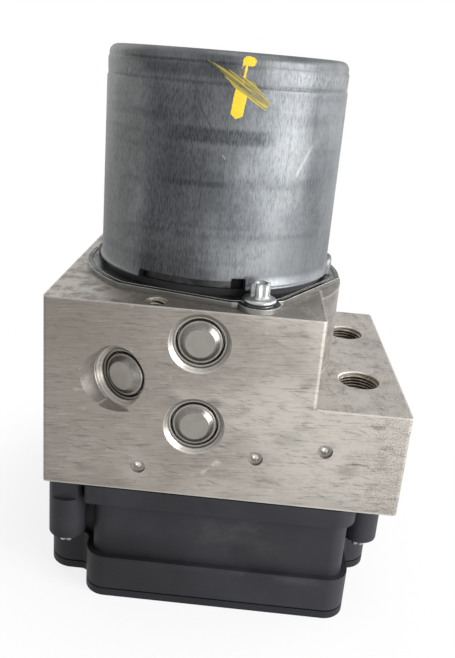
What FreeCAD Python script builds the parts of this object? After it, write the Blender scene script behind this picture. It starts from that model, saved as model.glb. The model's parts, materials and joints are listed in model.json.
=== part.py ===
import FreeCAD, Part
import math
import os

# Brake pressure modulator: block with six-plunger pump, motor on top, controller below.
# Millimetres. +Z runs up the motor axis, and z = 0 is the outer face of the controller's cover.
# +X points to the port ledge, and -Y is the front with the three pump plugs.
# The motor can's radius drives the flange, the block and the controller around it.

V = FreeCAD.Vector
X_AXIS = V(1, 0, 0)
Y_AXIS = V(0, 1, 0)
Z_AXIS = V(0, 0, 1)
ORIGIN = V(0, 0, 0)
full_turn = 360.0
half_turn = 180.0
quarter_turn = 90.0

# Running and seating clearances, and how far a cutting shape reaches past the face it opens
running_gap = 0.03
seat_gap = 0.05
assembly_gap = 0.3
contact_gap = 0.1
overcut = 0.5
place_tolerance = 0.001

# Motor can
can_radius = 37.0
can_wall = 2.0
can_shoulder = 3.0
can_length = 64.7
can_stand = 2.1
can_lip = 0.6
can_lip_height = 0.8
can_step = 0.3
can_step_drop = 8.7
can_recess_depth = 0.35
can_recess_rim = 6.3
can_recess_inner = 12.2
can_window_height = 2.4
can_window_start = 237.0
can_window_end = 281.0
can_window_overlap = 1.0
can_slot_width = 4.2
can_slot_height = 3.4
can_lug_proud = 1.7
can_lug_bite = 1.0
can_lug_right_width = 7.2
can_lug_right_height = 6.6
can_lug_left_width = 6.6
can_lug_left_height = 3.6

# Motor end plate with two screw lobes, and its screws
plate_thickness = 1.65
plate_overhang = 4.6
plate_flat_overhang = 0.9
plate_flat_spread = 36.0
plate_lobe_radius = 6.2
plate_lobe_foot = 12.0
plate_lobe_neck = 3.0
plate_lobe_blend = 1.5
plate_lobe_inset = 0.3
hub_wall = 1.5
hub_depth = 5.2
hub_lip = 1.2
spigot_height = 7.0
spigot_wall = 1.6
rim_groove_inset = 1.3
rim_groove_width = 0.7
rim_groove_depth = 0.5
seal_inset = 1.3
motor_screw_offset = 4.8
motor_screw_radius = 2.45
motor_screw_grip = 13.0
motor_screw_flange = 4.85
motor_screw_flange_height = 1.0
motor_screw_cone = 0.6
motor_screw_head = 3.0
motor_screw_head_height = 4.6
screw_hole_spare = 1.0
screw_lobes = 6
screw_lobe_radius = 0.75

# Magnets, core and windings
magnet_count = 4
magnet_span = 70.0
magnet_thickness = 5.6
magnet_overhang = 4.0
air_gap = 0.95
core_slots = 12
slot_radius = 2.6
slot_depth = 5.0
slot_mouth = 1.4
winding_overhang = 6.0
winding_inner = 11.0
winding_top_room = 4.8

# Shaft, bushes and ball bearing
shaft_radius = 4.0
shaft_end_radius = 3.0
shaft_top_clearance = 0.4
shaft_end_play = 0.1
end_bush_wall = 2.2
end_bush_length = 5.0
can_bush_wall = 4.5
can_bush_length = 7.0
bearing_radius = 11.0
bearing_width = 7.0
bearing_sink = 3.35
bearing_ball = 2.0
bearing_ball_count = 7
bearing_race = 2.3
cage_wall = 0.8
cage_height = 5.0

# Commutator, brushes and their holder
commutator_radius = 9.0
commutator_length = 9.0
commutator_rise = 3.0
commutator_bars = 16
commutator_collar = 1.5
bar_gap = 0.5
bar_gap_depth = 1.0
brush_width = 5.0
brush_height = 6.0
brush_length = 9.0
brush_box_wall = 1.2
brush_box_margin = 1.0
brush_spring_wire = 0.45
brush_spring_turns = 6
holder_thickness = 2.0
holder_rise = 0.2
holder_clearance = 0.6
holder_step = 1.5
holder_box_step = 0.5

# Hydraulic block around the motor flange
block_margin = 8.0
block_height = 59.35
block_corner = 1.2
flange_boss_margin = 0.7
block_left_margin = 2.45
block_right_margin = 6.5
wall_setback = 7.5
ledge_height = 32.5
ledge_blend = 2.5

# Pump: eccentric shaft and six plungers in three planes
pump_mid_rise = 36.2
pump_plane_pitch = 13.0
slanted_angle = 117.5
slanted_setback = 2.13
eccentric_offset = 1.0
eccentric_radius = 5.4
eccentric_width = 8.6
roller_radius = 0.75
roller_count = 14
roller_end_gap = 0.6
ring_wall = 1.2
chamber_wall_gap = 1.0
chamber_floor_gap = 1.4
plunger_radius = 3.25
plunger_length = 14.0
plunger_tip = 0.5
plunger_head_radius = 2.2
plunger_head_length = 2.5
guide_radius = 5.5
guide_setback = 3.0
guide_end_wall = 2.4
guide_vent_radius = 1.0
spring_wire = 0.5
spring_turns = 5
spring_wire_sides = 8
cap_radius = 7.1
cap_thickness = 4.0
cap_shoulder = 0.5
cap_shoulder_step = 0.3
cap_rim_step = 0.6
cap_rim_edge = 0.25
cap_rim_land = 0.5
cap_disc_radius = 4.3
cap_disc_drop = 0.4
cap_rim_drop = 1.6
cap_skirt = 1.5
cap_skirt_step = 1.0
cap_seat_depth = 8.0
cap_ledge_width = 0.6
cap_ledge_depth = 1.9
countersink_width = 1.3
countersink_depth = 1.3
spotface_margin = 0.25
spotface_length = 42.8
pocket_radius = 10.4
pocket_shift = 1.0
pocket_reach = 4.5
ball_plug_radius = 2.2
ball_plug_depth = 5.0
ball_plug_sink = 0.9
ball_plug_cup = 1.3
ball_plug_left_x = 15.9
ball_plug_left_rise = 8.2
ball_plug_middle_x = 18.8
ball_plug_middle_rise = 14.6
ball_plug_right_x = 38.9
ball_plug_right_rise = 19.2

# Low pressure accumulators in the left face
accumulator_radius = 10.5
accumulator_depth = 24.5
accumulator_y = 20.0
accumulator_rise = 13.2
accumulator_piston_length = 7.0
accumulator_piston_wall = 1.8
accumulator_piston_edge = 1.0
accumulator_cap_sink = 0.6
accumulator_cap_wall = 1.6
accumulator_cap_length = 6.0
accumulator_spring_wire = 1.4
accumulator_spring_turns = 4
accumulator_vent_radius = 1.2

# Ports and mounting threads
ledge_port_radius = 6.35
ledge_port_depth = 11.5
ledge_port_margin = 1.15
ledge_port_shift = 0.2
port_chamfer = 0.35
wheel_port_radius = 5.0
wheel_port_depth = 13.0
wheel_port_rise = 19.5
wheel_port_inner_y = 9.0
wheel_port_edge = 11.0
bracket_thread_radius = 3.0
bracket_thread_depth = 10.0
bracket_thread_drop = 9.35
bracket_side_y = 14.0
bracket_back_x = 22.0
top_hole_x = 13.5
top_hole_edge = 4.5
top_hole_depth = 8.0

# Valves with their coils, pressure sensor, and the motor's contact stem
valve_columns = 3
valve_rows = 4
valve_pitch = 18.0
valve_radius = 5.0
valve_depth = 14.0
valve_bevel = 1.5
valve_dome_radius = 3.0
valve_dome_length = 12.0
valve_dome_bevel = 1.0
outlet_dome_cut = 1.0
coil_radius = 7.4
coil_height = 11.0
coil_flange = 1.2
coil_waist = 6.4
coil_side_gap = 0.1
coil_end_gap = 1.9
sensor_to_tower = 12.0
sensor_radius = 6.0
sensor_depth = 10.0
sensor_bevel = 1.0
sensor_stem_step = 2.0
sensor_stem_length = 12.0
sensor_neck_step = 0.5
sensor_neck_length = 3.0
sensor_neck_slope = 1.0
contact_tower_edge = 0.8
contact_tower_radius = 4.0
contact_tower_drop = 6.0
contact_blade_drop = 14.0
contact_blade_rise = 3.0
contact_blade_width = 2.4
contact_blade_thickness = 0.8
contact_blade_y = 1.8

# Controller housing, from the cover upwards
cover_thickness = 3.0
cover_groove = 0.5
board_room = 9.0
board_thickness = 1.6
board_margin = 1.0
post_height = 8.9
post_radius = 2.5
post_inset = 10.0
floor_thickness = 2.5
coil_stand = 3.7
band_height = 11.5
collar_height = 6.1
seal_thickness = 0.4
seal_outer_inset = 0.6
seal_inner_inset = 2.4
housing_wall = 2.5
wall_inset = 2.0
housing_left_setback = 12.75
housing_right_setback = 10.85
ear_left_reach = 1.45
ear_right_setback = 1.05
ear_left_margin = 5.6
ear_right_margin = 1.0
ear_right_edge = 25.4
housing_corner = 7.0
ear_corner = 7.5
inner_corner = 3.0
collar_corner = 1.0
rear_shelf_rise = 3.0

# Bosses that carry the controller's screws
boss_radius = 5.8
boss_rise = 5.5
boss_left_setback = 6.55
boss_right_setback = 6.65
boss_web = 5.0
boss_flat_height = 6.0
boss_flat_depth = 1.4
controller_screw_radius = 2.45
controller_screw_head = 3.1
controller_screw_head_height = 2.4
controller_screw_flange = 4.6
controller_screw_flange_height = 1.0
controller_screw_grip = 10.0

# Connector socket behind the block, its contacts and the plate that guides them
socket_centre_x = 7.0
socket_length = 64.0
socket_width = 26.0
socket_wall = 2.2
socket_corner = 4.0
socket_setback = 4.5
socket_floor_thickness = 3.0
socket_depth = 19.0
socket_rim = 1.2
socket_rim_height = 4.0
socket_rim_drop = 1.0
rear_margin = 3.5
contact_rows = 3
contact_columns = 14
contact_pitch = 2.6
contact_row_pitch = 5.0
contact_size = 0.7
contact_height = 7.0
contact_shift = 3.5
blade_columns = 2
blade_width = 2.8
blade_thickness = 0.8
blade_pitch = 4.6
blade_gap = 9.16
guide_plate_thickness = 1.2
guide_plate_ledge = 1.5
guide_plate_margin = 2.0

# Board components: centre, length, width and height below the board
chips = (
    (0.0, -2.0, 16.0, 16.0, 1.6),
    (24.0, -24.0, 12.0, 12.0, 1.4),
    (24.0, 20.0, 12.0, 12.0, 1.4),
    (-17.5, 16.5, 9.0, 9.0, 2.2),
)
capacitor_count = 3
capacitor_radius = 3.2
capacitor_height = 7.0
capacitor_pitch = 9.0
capacitor_x = -18.0
capacitor_y = -28.0

# Places seen from above that follow from the sizes above
can_inner = can_radius - can_wall
plate_radius = can_radius + plate_overhang
plate_flat = can_radius + plate_flat_overhang
motor_screw_circle = can_radius + motor_screw_offset
block_half_depth = can_radius + block_margin
motor_screw_y = block_half_depth - plate_lobe_radius
motor_screw_angle = full_turn - math.degrees(math.asin(motor_screw_y / motor_screw_circle))
flange_boss_radius = plate_radius + flange_boss_margin
block_left = flange_boss_radius + block_left_margin
tall_right = flange_boss_radius - wall_setback
ledge_port_x = flange_boss_radius + ledge_port_radius + ledge_port_margin
block_right = ledge_port_x + ledge_port_radius + block_right_margin
wheel_port_outer_y = block_half_depth - wheel_port_edge
wheel_port_ys = (-wheel_port_outer_y, -wheel_port_inner_y, wheel_port_inner_y, wheel_port_outer_y)
ledge_port_y = (wheel_port_outer_y + wheel_port_inner_y) / 2 - ledge_port_shift
top_hole_y = block_half_depth - top_hole_edge
slant = half_turn - quarter_turn - (half_turn - slanted_angle)
slanted_reach = block_half_depth / math.cos(math.radians(slant)) - slanted_setback
housing_left = block_left - housing_left_setback
housing_right = block_right - housing_right_setback
housing_front = block_half_depth
ear_left = block_left + ear_left_reach
ear_right = block_right - ear_right_setback
boss_left_x = block_left - boss_left_setback
boss_right_x = block_right - boss_right_setback
boss_left_y = block_half_depth - boss_radius
ear_left_half = boss_left_y - ear_left_margin
ear_right_half = block_half_depth - ear_right_edge
boss_right_y = ear_right_half + boss_radius + ear_right_margin
socket_y = block_half_depth + socket_setback + socket_width / 2
housing_rear = socket_y + socket_width / 2 + rear_margin
housing_edge = max(ear_left, ear_right) + 2 * overcut
coil_wall = wall_inset + housing_wall + coil_radius
last_valve_x = housing_right - coil_wall - coil_end_gap
last_valve_y = block_half_depth - coil_wall - coil_side_gap
valve_row_pitch = 2 * last_valve_y / (valve_rows - 1)
valve_xs = [last_valve_x - valve_pitch * i for i in range(valve_columns)]
valve_ys = [valve_row_pitch * i - last_valve_y for i in range(valve_rows)]

# Radii inside the motor and the pump
ring_inner_radius = eccentric_radius + 2 * (roller_radius + running_gap)
ring_outer_radius = ring_inner_radius + ring_wall
ring_reach = ring_outer_radius + eccentric_offset
chamber_radius = bearing_radius + chamber_wall_gap
guide_start = chamber_radius + guide_setback
plunger_start = ring_reach + contact_gap
plunger_end = plunger_start + plunger_length
cap_rim_radius = cap_radius - cap_rim_step
ledge_radius = cap_radius + seat_gap + cap_ledge_width
countersink_radius = ledge_radius + countersink_width
spotface_radius = countersink_radius + spotface_margin
core_radius = can_inner - seat_gap - magnet_thickness - air_gap
slot_circle = core_radius - slot_depth
winding_outer = slot_circle + slot_radius
holder_radius = can_inner - spigot_wall - holder_clearance
holder_opening = commutator_radius + holder_step
brush_box_start = holder_opening + holder_box_step
brush_box_end = holder_radius - brush_box_margin
brush_start = commutator_radius + contact_gap
contact_tower_x = holder_radius - contact_tower_radius - contact_tower_edge
sensor_x = contact_tower_x - sensor_to_tower

# Heights that follow from the sizes above
band_top = cover_thickness + band_height
board_bottom = cover_thickness + board_room
board_top = board_bottom + board_thickness
floor_level = board_top + post_height
floor_top = floor_level + floor_thickness
block_bottom = floor_top + coil_stand + coil_height + assembly_gap
housing_top = block_bottom - seal_thickness
collar_bottom = housing_top - collar_height
rear_shelf = floor_top + rear_shelf_rise
socket_floor = rear_shelf + socket_floor_thickness
socket_top = socket_floor + socket_depth
boss_bottom = band_top + boss_rise
ledge_top = block_bottom + ledge_height
block_top = block_bottom + block_height
plate_top = block_top + plate_thickness
pump_mid_level = block_bottom + pump_mid_rise
top_pump_level = pump_mid_level + pump_plane_pitch
low_pump_level = pump_mid_level - pump_plane_pitch
chamber_floor = low_pump_level - eccentric_width / 2 - chamber_floor_gap
shaft_bottom = chamber_floor - end_bush_length + shaft_end_play
accumulator_level = block_bottom + accumulator_rise
wheel_port_level = block_bottom + wheel_port_rise
bracket_level = block_top - bracket_thread_drop
bearing_bottom = block_top - bearing_sink
bearing_top = bearing_bottom + bearing_width
bearing_middle = (bearing_bottom + bearing_top) / 2
holder_level = bearing_top + holder_rise
holder_top = holder_level + holder_thickness
commutator_start = bearing_top + commutator_rise
commutator_end = commutator_start + commutator_length
brush_level = commutator_start + (commutator_length - commutator_collar) / 2
can_bottom = plate_top + can_stand
can_top = can_bottom + can_length
can_ceiling = can_top - can_wall
shaft_top = can_ceiling - shaft_top_clearance
core_start = commutator_end + winding_overhang
core_end = can_ceiling - winding_top_room - winding_overhang
magnet_start = core_start - magnet_overhang
magnet_length = core_end + magnet_overhang - magnet_start

# Each pump element: direction seen from above, level of its axis, distance of its reference face
front = full_turn - quarter_turn
back = quarter_turn
pump_elements = (
    (front, top_pump_level, block_half_depth),
    (full_turn - slanted_angle, pump_mid_level, slanted_reach),
    (front, low_pump_level, block_half_depth),
    (back, top_pump_level, block_half_depth),
    (slanted_angle, pump_mid_level, slanted_reach),
    (back, low_pump_level, block_half_depth),
)
# Each eccentric: level, and direction of its lobe at rest
eccentrics = (
    (top_pump_level, 0.0),
    (pump_mid_level, full_turn / 3),
    (low_pump_level, 2 * full_turn / 3),
)
# Each ball plug: place along X, level, and side (-1 front, 1 back)
ball_plug_row = (
    (-ball_plug_left_x, block_bottom + ball_plug_left_rise),
    (ball_plug_middle_x, block_bottom + ball_plug_middle_rise),
    (ball_plug_right_x, block_bottom + ball_plug_right_rise),
)
ball_plugs = [(x, z, side) for side in (-1, 1) for x, z in ball_plug_row]
boss_centres = (
    (-boss_left_x, -boss_left_y),
    (boss_right_x, -boss_right_y),
    (boss_right_x, boss_right_y),
    (-boss_left_x, boss_left_y),
)
valve_places = [(x, y) for x in valve_xs for y in valve_ys]
motor_screw_angles = (motor_screw_angle, motor_screw_angle - half_turn)
# Each pressed lug on the can: direction, width and height
can_lugs = (
    (0.0, can_lug_right_width, can_lug_right_height),
    (half_turn, can_lug_left_width, can_lug_left_height),
)


def polar(radius, angle, z=0.0):
    turn = math.radians(angle)
    return V(radius * math.cos(turn), radius * math.sin(turn), z)


def cylinder(radius, z0, z1, x=0.0, y=0.0):
    return Part.makeCylinder(radius, z1 - z0, V(x, y, z0))


def tube(outer, inner, z0, z1, x=0.0, y=0.0):
    return cylinder(outer, z0, z1, x, y).cut(cylinder(inner, z0 - overcut, z1 + overcut, x, y))


def block(x0, x1, y0, y1, z0, z1):
    return Part.makeBox(x1 - x0, y1 - y0, z1 - z0, V(x0, y0, z0))


def centred_block(x, y, length, width, z0, z1):
    return block(x - length / 2, x + length / 2, y - width / 2, y + width / 2, z0, z1)


def revolved(profile):
    """Solid of revolution about Z from (radius, height) points."""
    points = [V(r, 0, z) for r, z in profile]
    points.append(points[0])
    face = Part.Face(Part.makePolygon(points))
    return face.revolve(ORIGIN, Z_AXIS, full_turn)


def turned(shape, angle, z=0.0):
    """A copy turned about Z and lifted."""
    copy = shape.copy()
    copy.rotate(ORIGIN, Z_AXIS, angle)
    copy.translate(V(0, 0, z))
    return copy


def laid_out(shape, angle, level):
    """Lay a shape built along +Z on its side, pointing outwards at an angle, at a level."""
    copy = shape.copy()
    copy.rotate(ORIGIN, Y_AXIS, quarter_turn)
    return turned(copy, angle, level)


def moved(shape, x, y, z):
    copy = shape.copy()
    copy.translate(V(x, y, z))
    return copy


def pointing(shape, direction, x, y, z):
    """Turn a shape built along +Z towards +X, -X or +Y and put its mouth at a point."""
    copy = shape.copy()
    turns = {
        "right": (Y_AXIS, quarter_turn),
        "left": (Y_AXIS, -quarter_turn),
        "back": (X_AXIS, -quarter_turn),
        "front": (X_AXIS, quarter_turn),
    }
    axis, angle = turns[direction]
    copy.rotate(ORIGIN, axis, angle)
    copy.translate(V(x, y, z))
    return copy


def on_face(shape, x, z, side):
    """Stand a shape built along +Z on the front (-1) or back (1) face, pointing out."""
    return pointing(shape, "front" if side < 0 else "back", x, side * block_half_depth, z)


def rounded_wire(corners, z):
    """Closed wire through (x, y, radius) corners, each rounded by a tangent arc."""
    edges = []
    ends = []
    count = len(corners)
    for i, (x, y, radius) in enumerate(corners):
        here = V(x, y, z)
        before = V(corners[i - 1][0], corners[i - 1][1], z) - here
        after = V(corners[(i + 1) % count][0], corners[(i + 1) % count][1], z) - here
        before.normalize()
        after.normalize()
        half = before.getAngle(after) / 2
        reach = radius / math.tan(half)
        middle = before + after
        middle.normalize()
        centre = here + middle * (radius / math.sin(half))
        start = here + before * reach
        end = here + after * reach
        edges.append(Part.Arc(start, centre - middle * radius, end).toShape())
        ends.append((start, end))
    for i in range(count):
        start = ends[i][1]
        end = ends[(i + 1) % count][0]
        if start.distanceToPoint(end) > place_tolerance:
            edges.append(Part.makeLine(start, end))
    return Part.Wire(Part.__sortEdges__(edges))


def rounded_prism(corners, z0, z1):
    return Part.Face(rounded_wire(corners, z0)).extrude(V(0, 0, z1 - z0))


def rounded_box(cx, cy, length, width, corner, z0, z1):
    x0 = cx - length / 2
    x1 = cx + length / 2
    y0 = cy - width / 2
    y1 = cy + width / 2
    corners = [(x0, y0, corner), (x1, y0, corner), (x1, y1, corner), (x0, y1, corner)]
    return rounded_prism(corners, z0, z1)


def coil_spring(mean_radius, wire, turns, z0, z1):
    """Coil of drawn wire along Z, from z0 to z1 over its ends."""
    length = z1 - z0 - wire
    helix = Part.makeHelix(length / turns, length, mean_radius)
    corners = []
    for i in range(spring_wire_sides):
        around = math.radians(full_turn * (i + 1 / 2) / spring_wire_sides)
        corners.append(V(mean_radius + wire / 2 * math.cos(around), 0, wire / 2 * math.sin(around)))
    section = Part.Wire(Part.makePolygon(corners + [corners[0]]))
    spring = Part.Wire(helix).makePipeShell([section], True, True)
    spring.translate(V(0, 0, z0 + wire / 2))
    return spring


def star_head(radius, height, x, y, z):
    """External six-lobe drive head, standing up from z."""
    head = cylinder(radius - screw_lobe_radius, z, z + height, x, y)
    for i in range(screw_lobes):
        place = polar(radius - screw_lobe_radius, full_turn * i / screw_lobes)
        head = head.fuse(cylinder(screw_lobe_radius, z, z + height, x + place.x, y + place.y))
    return head.removeSplitter()


def save(name, shape):
    shape.exportStep(os.path.join("parts", name + ".step"))
    print(name, len(shape.Solids), round(shape.Volume, 1))


def group(shapes):
    return Part.makeCompound(shapes)


def outline(inset, front_left_corner=housing_corner):
    """Corner list of the controller housing seen from above, pulled in by an inset."""
    x0 = -housing_left + inset
    x1 = housing_right - inset
    e0 = -ear_left + inset
    e1 = ear_right - inset
    y0 = -housing_front + inset
    y1 = housing_rear - inset
    left = ear_left_half - inset
    right = ear_right_half - inset
    outer = max(housing_corner - inset, collar_corner)
    ear = max(ear_corner - inset, collar_corner)
    inner = inner_corner + inset
    front_left = max(front_left_corner - inset, collar_corner)
    return [
        (x0, y0, front_left),
        (x1, y0, outer),
        (x1, -right, inner),
        (e1, -right, ear),
        (e1, right, ear),
        (x1, right, inner),
        (x1, y1, outer),
        (x0, y1, outer),
        (x0, left, inner),
        (e0, left, ear),
        (e0, -left, ear),
        (x0, -left, inner),
    ]


def cap_bore(reach):
    """Stepped bore of one pump element, from the shaft chamber out through the block's face."""
    seat = reach - cap_seat_depth
    ledge = reach - cap_ledge_depth
    bore = cap_radius + seat_gap
    return revolved([
        (0, ring_reach),
        (plunger_radius + assembly_gap, ring_reach),
        (plunger_radius + assembly_gap, guide_start),
        (guide_radius + seat_gap, guide_start),
        (guide_radius + seat_gap, seat),
        (bore, seat),
        (bore, ledge),
        (ledge_radius, ledge),
        (ledge_radius, reach - countersink_depth),
        (countersink_radius, reach),
        (countersink_radius + overcut, reach + overcut),
        (0, reach + overcut),
    ])


def spotface(reach, side):
    """Spot face of a slanted plug, and a wider pocket beside it that stops short on the outer side."""
    end = reach + spotface_length
    pocket = cylinder(pocket_radius, reach, end, 0, side * pocket_shift)
    far = side * (pocket_radius + pocket_shift + overcut)
    near = -side * pocket_reach
    kept = block(-pocket_radius - overcut, pocket_radius + overcut, min(near, far), max(near, far),
                 reach - overcut, end + overcut)
    return cylinder(spotface_radius, reach, end).fuse(pocket.common(kept))


def ball_plug_bore():
    return cylinder(ball_plug_radius + seat_gap, -ball_plug_depth, overcut)


def threaded_port(radius, depth):
    """Blind port bore along +Z whose mouth is at z = 0, with a broken edge and a drilled point."""
    return revolved([
        (0, -depth - radius / 2),
        (radius, -depth),
        (radius, -port_chamfer),
        (radius + port_chamfer, 0),
        (radius + port_chamfer, overcut),
        (0, overcut),
    ])


def vertical_edges(shape, places):
    """Edges that run along Z through one of the (x, y) places."""
    found = []
    for edge in shape.Edges:
        if len(edge.Vertexes) < 2:
            continue
        a = edge.Vertexes[0].Point
        b = edge.Vertexes[1].Point
        if math.hypot(a.x - b.x, a.y - b.y) > place_tolerance:
            continue
        if any(math.hypot(a.x - x, a.y - y) < place_tolerance for x, y in places):
            found.append(edge)
    return found


def block_body():
    """Extruded L-section with a round boss under the motor flange."""
    depth = block_half_depth
    low = block(-block_left, block_right, -depth, depth, block_bottom, ledge_top)
    tall = block(-block_left, tall_right, -depth, depth, ledge_top, block_top)
    boss = cylinder(flange_boss_radius, ledge_top, block_top)
    body = low.fuse(tall).fuse(boss).removeSplitter()
    meet_y = math.sqrt(flange_boss_radius ** 2 - tall_right ** 2)
    inner = vertical_edges(body, [(tall_right, -meet_y), (tall_right, meet_y)])
    body = body.makeFillet(ledge_blend, inner)
    corners = [(x, y) for x in (-block_left, block_right, tall_right) for y in (-depth, depth)]
    return body.makeFillet(block_corner, vertical_edges(body, corners))


def shaft_bores():
    """Shaft chamber, the motor hub's seat above it and the end bush's seat below it."""
    hub = bearing_radius + hub_wall + seat_gap
    bush = shaft_end_radius + end_bush_wall
    return [
        cylinder(chamber_radius, chamber_floor, block_top + overcut),
        cylinder(hub, block_top - hub_depth - seat_gap, block_top + overcut),
        cylinder(bush, shaft_bottom - overcut, chamber_floor + overcut),
    ]


def pump_bores():
    cuts = []
    for angle, level, reach in pump_elements:
        cuts.append(laid_out(cap_bore(reach), angle, level))
        if reach > block_half_depth:
            side = -1 if angle < half_turn else 1
            cuts.append(laid_out(spotface(reach, side), angle, level))
    for x, z, side in ball_plugs:
        cuts.append(on_face(ball_plug_bore(), x, z, side))
    return cuts


def bays():
    """Accumulator bores, valve and sensor seats, and the way of the motor's contact stem."""
    cuts = []
    bore = cylinder(accumulator_radius, -accumulator_depth, overcut)
    for side in (-1, 1):
        cuts.append(pointing(bore, "left", -block_left, side * accumulator_y, accumulator_level))
    low = block_bottom - overcut
    for x, y in valve_places:
        cuts.append(cylinder(valve_radius, low, block_bottom + valve_depth, x, y))
    cuts.append(cylinder(sensor_radius, low, block_bottom + sensor_depth, -sensor_x, 0))
    cuts.append(cylinder(contact_tower_radius + seat_gap, low, block_top + overcut, -contact_tower_x, 0))
    return cuts


def port_bores():
    cuts = []
    ledge_port = threaded_port(ledge_port_radius, ledge_port_depth)
    for side in (-1, 1):
        cuts.append(moved(ledge_port, ledge_port_x, side * ledge_port_y, ledge_top))
    wheel_port = threaded_port(wheel_port_radius, wheel_port_depth)
    for y in wheel_port_ys:
        cuts.append(pointing(wheel_port, "right", block_right, y, wheel_port_level))
    thread = threaded_port(bracket_thread_radius, bracket_thread_depth)
    for side in (-1, 1):
        cuts.append(pointing(thread, "left", -block_left, side * bracket_side_y, bracket_level))
    cuts.append(pointing(thread, "back", bracket_back_x, block_half_depth, bracket_level))
    top_hole = threaded_port(bracket_thread_radius, top_hole_depth)
    cuts.append(moved(top_hole, -top_hole_x, -top_hole_y, block_top))
    return cuts


def screw_bores():
    cuts = []
    bottom = block_top - motor_screw_grip - screw_hole_spare
    for angle in motor_screw_angles:
        place = polar(motor_screw_circle, angle)
        cuts.append(cylinder(motor_screw_radius + running_gap, bottom, block_top + overcut,
                             place.x, place.y))
    end = block_bottom + controller_screw_grip + screw_hole_spare
    for x, y in boss_centres:
        cuts.append(cylinder(controller_screw_radius + running_gap, block_bottom - overcut, end, x, y))
    return cuts


def hydraulic_block():
    return block_body().cut(shaft_bores() + pump_bores() + bays() + port_bores() + screw_bores())


def ball_plug_group():
    plug = cylinder(ball_plug_radius, -ball_plug_depth, -ball_plug_sink)
    plug = plug.cut(Part.makeSphere(ball_plug_cup, V(0, 0, -ball_plug_sink)))
    return group([on_face(plug, x, z, side) for x, z, side in ball_plugs])


def pump_cap(reach):
    """Pressed plug of one pump element: a wide foot, a rim, and a disc raised on a sloping flank."""
    foot = reach - cap_seat_depth
    shoulder = foot + cap_thickness
    rim = reach - cap_rim_drop
    disc = reach - cap_disc_drop
    land = cap_rim_radius - cap_rim_edge - cap_rim_land
    return revolved([
        (0, foot + cap_skirt),
        (guide_radius - cap_skirt_step, foot + cap_skirt),
        (guide_radius - cap_skirt_step, foot),
        (cap_radius, foot),
        (cap_radius, shoulder),
        (cap_radius - cap_shoulder_step, shoulder + cap_shoulder),
        (cap_rim_radius, shoulder + cap_shoulder),
        (cap_rim_radius, rim - cap_rim_edge),
        (cap_rim_radius - cap_rim_edge, rim),
        (land, rim),
        (cap_disc_radius, disc),
        (0, disc),
    ])


def pump_guide(reach):
    """Cylinder liner that the plunger runs in, closed at its outer end but for a vent."""
    end = reach - cap_seat_depth
    bore = plunger_radius + running_gap
    return revolved([
        (bore, guide_start),
        (guide_radius, guide_start),
        (guide_radius, end),
        (guide_vent_radius, end),
        (guide_vent_radius, end - guide_end_wall),
        (bore, end - guide_end_wall),
    ])


def plunger():
    head = plunger_end - plunger_head_length
    return revolved([
        (0, plunger_start),
        (plunger_radius - plunger_tip, plunger_start),
        (plunger_radius, plunger_start + plunger_tip),
        (plunger_radius, head),
        (plunger_head_radius - spring_wire, head),
        (plunger_head_radius - spring_wire, plunger_end),
        (0, plunger_end),
    ])


def plunger_spring(reach):
    start = plunger_end - plunger_head_length + contact_gap
    end = reach - cap_seat_depth - guide_end_wall - contact_gap
    return coil_spring(plunger_radius - spring_wire, spring_wire, spring_turns, start, end)


def accumulator_piston():
    """Cup that closes the bore, built along +Z with the bore's floor at 0."""
    radius = accumulator_radius - running_gap
    start = contact_gap
    end = start + accumulator_piston_length
    inner = radius - accumulator_piston_wall
    return revolved([
        (0, start),
        (radius - accumulator_piston_edge, start),
        (radius, start + accumulator_piston_edge),
        (radius, end),
        (inner, end),
        (inner, start + accumulator_piston_wall),
        (0, start + accumulator_piston_wall),
    ])


def accumulator_cap():
    """Vented lid pressed into the bore's mouth."""
    mouth = accumulator_depth - accumulator_cap_sink
    inner = accumulator_radius - accumulator_cap_wall
    floor = mouth - accumulator_cap_wall
    return revolved([
        (accumulator_vent_radius, mouth),
        (accumulator_radius, mouth),
        (accumulator_radius, mouth - accumulator_cap_length),
        (inner, mouth - accumulator_cap_length),
        (inner, floor),
        (accumulator_vent_radius, floor),
    ])


def accumulator_spring():
    piston_inner = accumulator_radius - running_gap - accumulator_piston_wall
    radius = piston_inner - accumulator_spring_wire / 2 - assembly_gap
    start = accumulator_piston_wall + 2 * contact_gap
    end = accumulator_depth - accumulator_cap_sink - accumulator_cap_wall - contact_gap
    return coil_spring(radius, accumulator_spring_wire, accumulator_spring_turns, start, end)


def valve(dome):
    """Cartridge valve: pressed body in the block and a thin dome that the coil sits on."""
    top = block_bottom + valve_depth
    return revolved([
        (0, block_bottom - dome),
        (valve_dome_radius - valve_dome_bevel, block_bottom - dome),
        (valve_dome_radius, block_bottom - dome + valve_dome_bevel),
        (valve_dome_radius, block_bottom),
        (valve_radius, block_bottom),
        (valve_radius, top - valve_bevel),
        (valve_radius - valve_bevel, top),
        (0, top),
    ])


def coil():
    """Bobbin with two flanges and its winding, round a valve's dome."""
    inner = valve_dome_radius + seat_gap
    top = block_bottom - assembly_gap
    bottom = top - coil_height
    return revolved([
        (inner, bottom),
        (coil_radius, bottom),
        (coil_radius, bottom + coil_flange),
        (coil_waist, bottom + coil_flange),
        (coil_waist, top - coil_flange),
        (coil_radius, top - coil_flange),
        (coil_radius, top),
        (inner, top),
    ])


def pressure_sensor():
    top = block_bottom + sensor_depth
    stem = sensor_radius - sensor_stem_step
    return revolved([
        (0, block_bottom - sensor_stem_length),
        (stem, block_bottom - sensor_stem_length),
        (stem, block_bottom - sensor_neck_length - sensor_neck_slope),
        (sensor_radius - sensor_neck_step, block_bottom - sensor_neck_length),
        (sensor_radius, block_bottom),
        (sensor_radius, top - sensor_bevel),
        (sensor_radius - sensor_bevel, top),
        (0, top),
    ])


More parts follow.
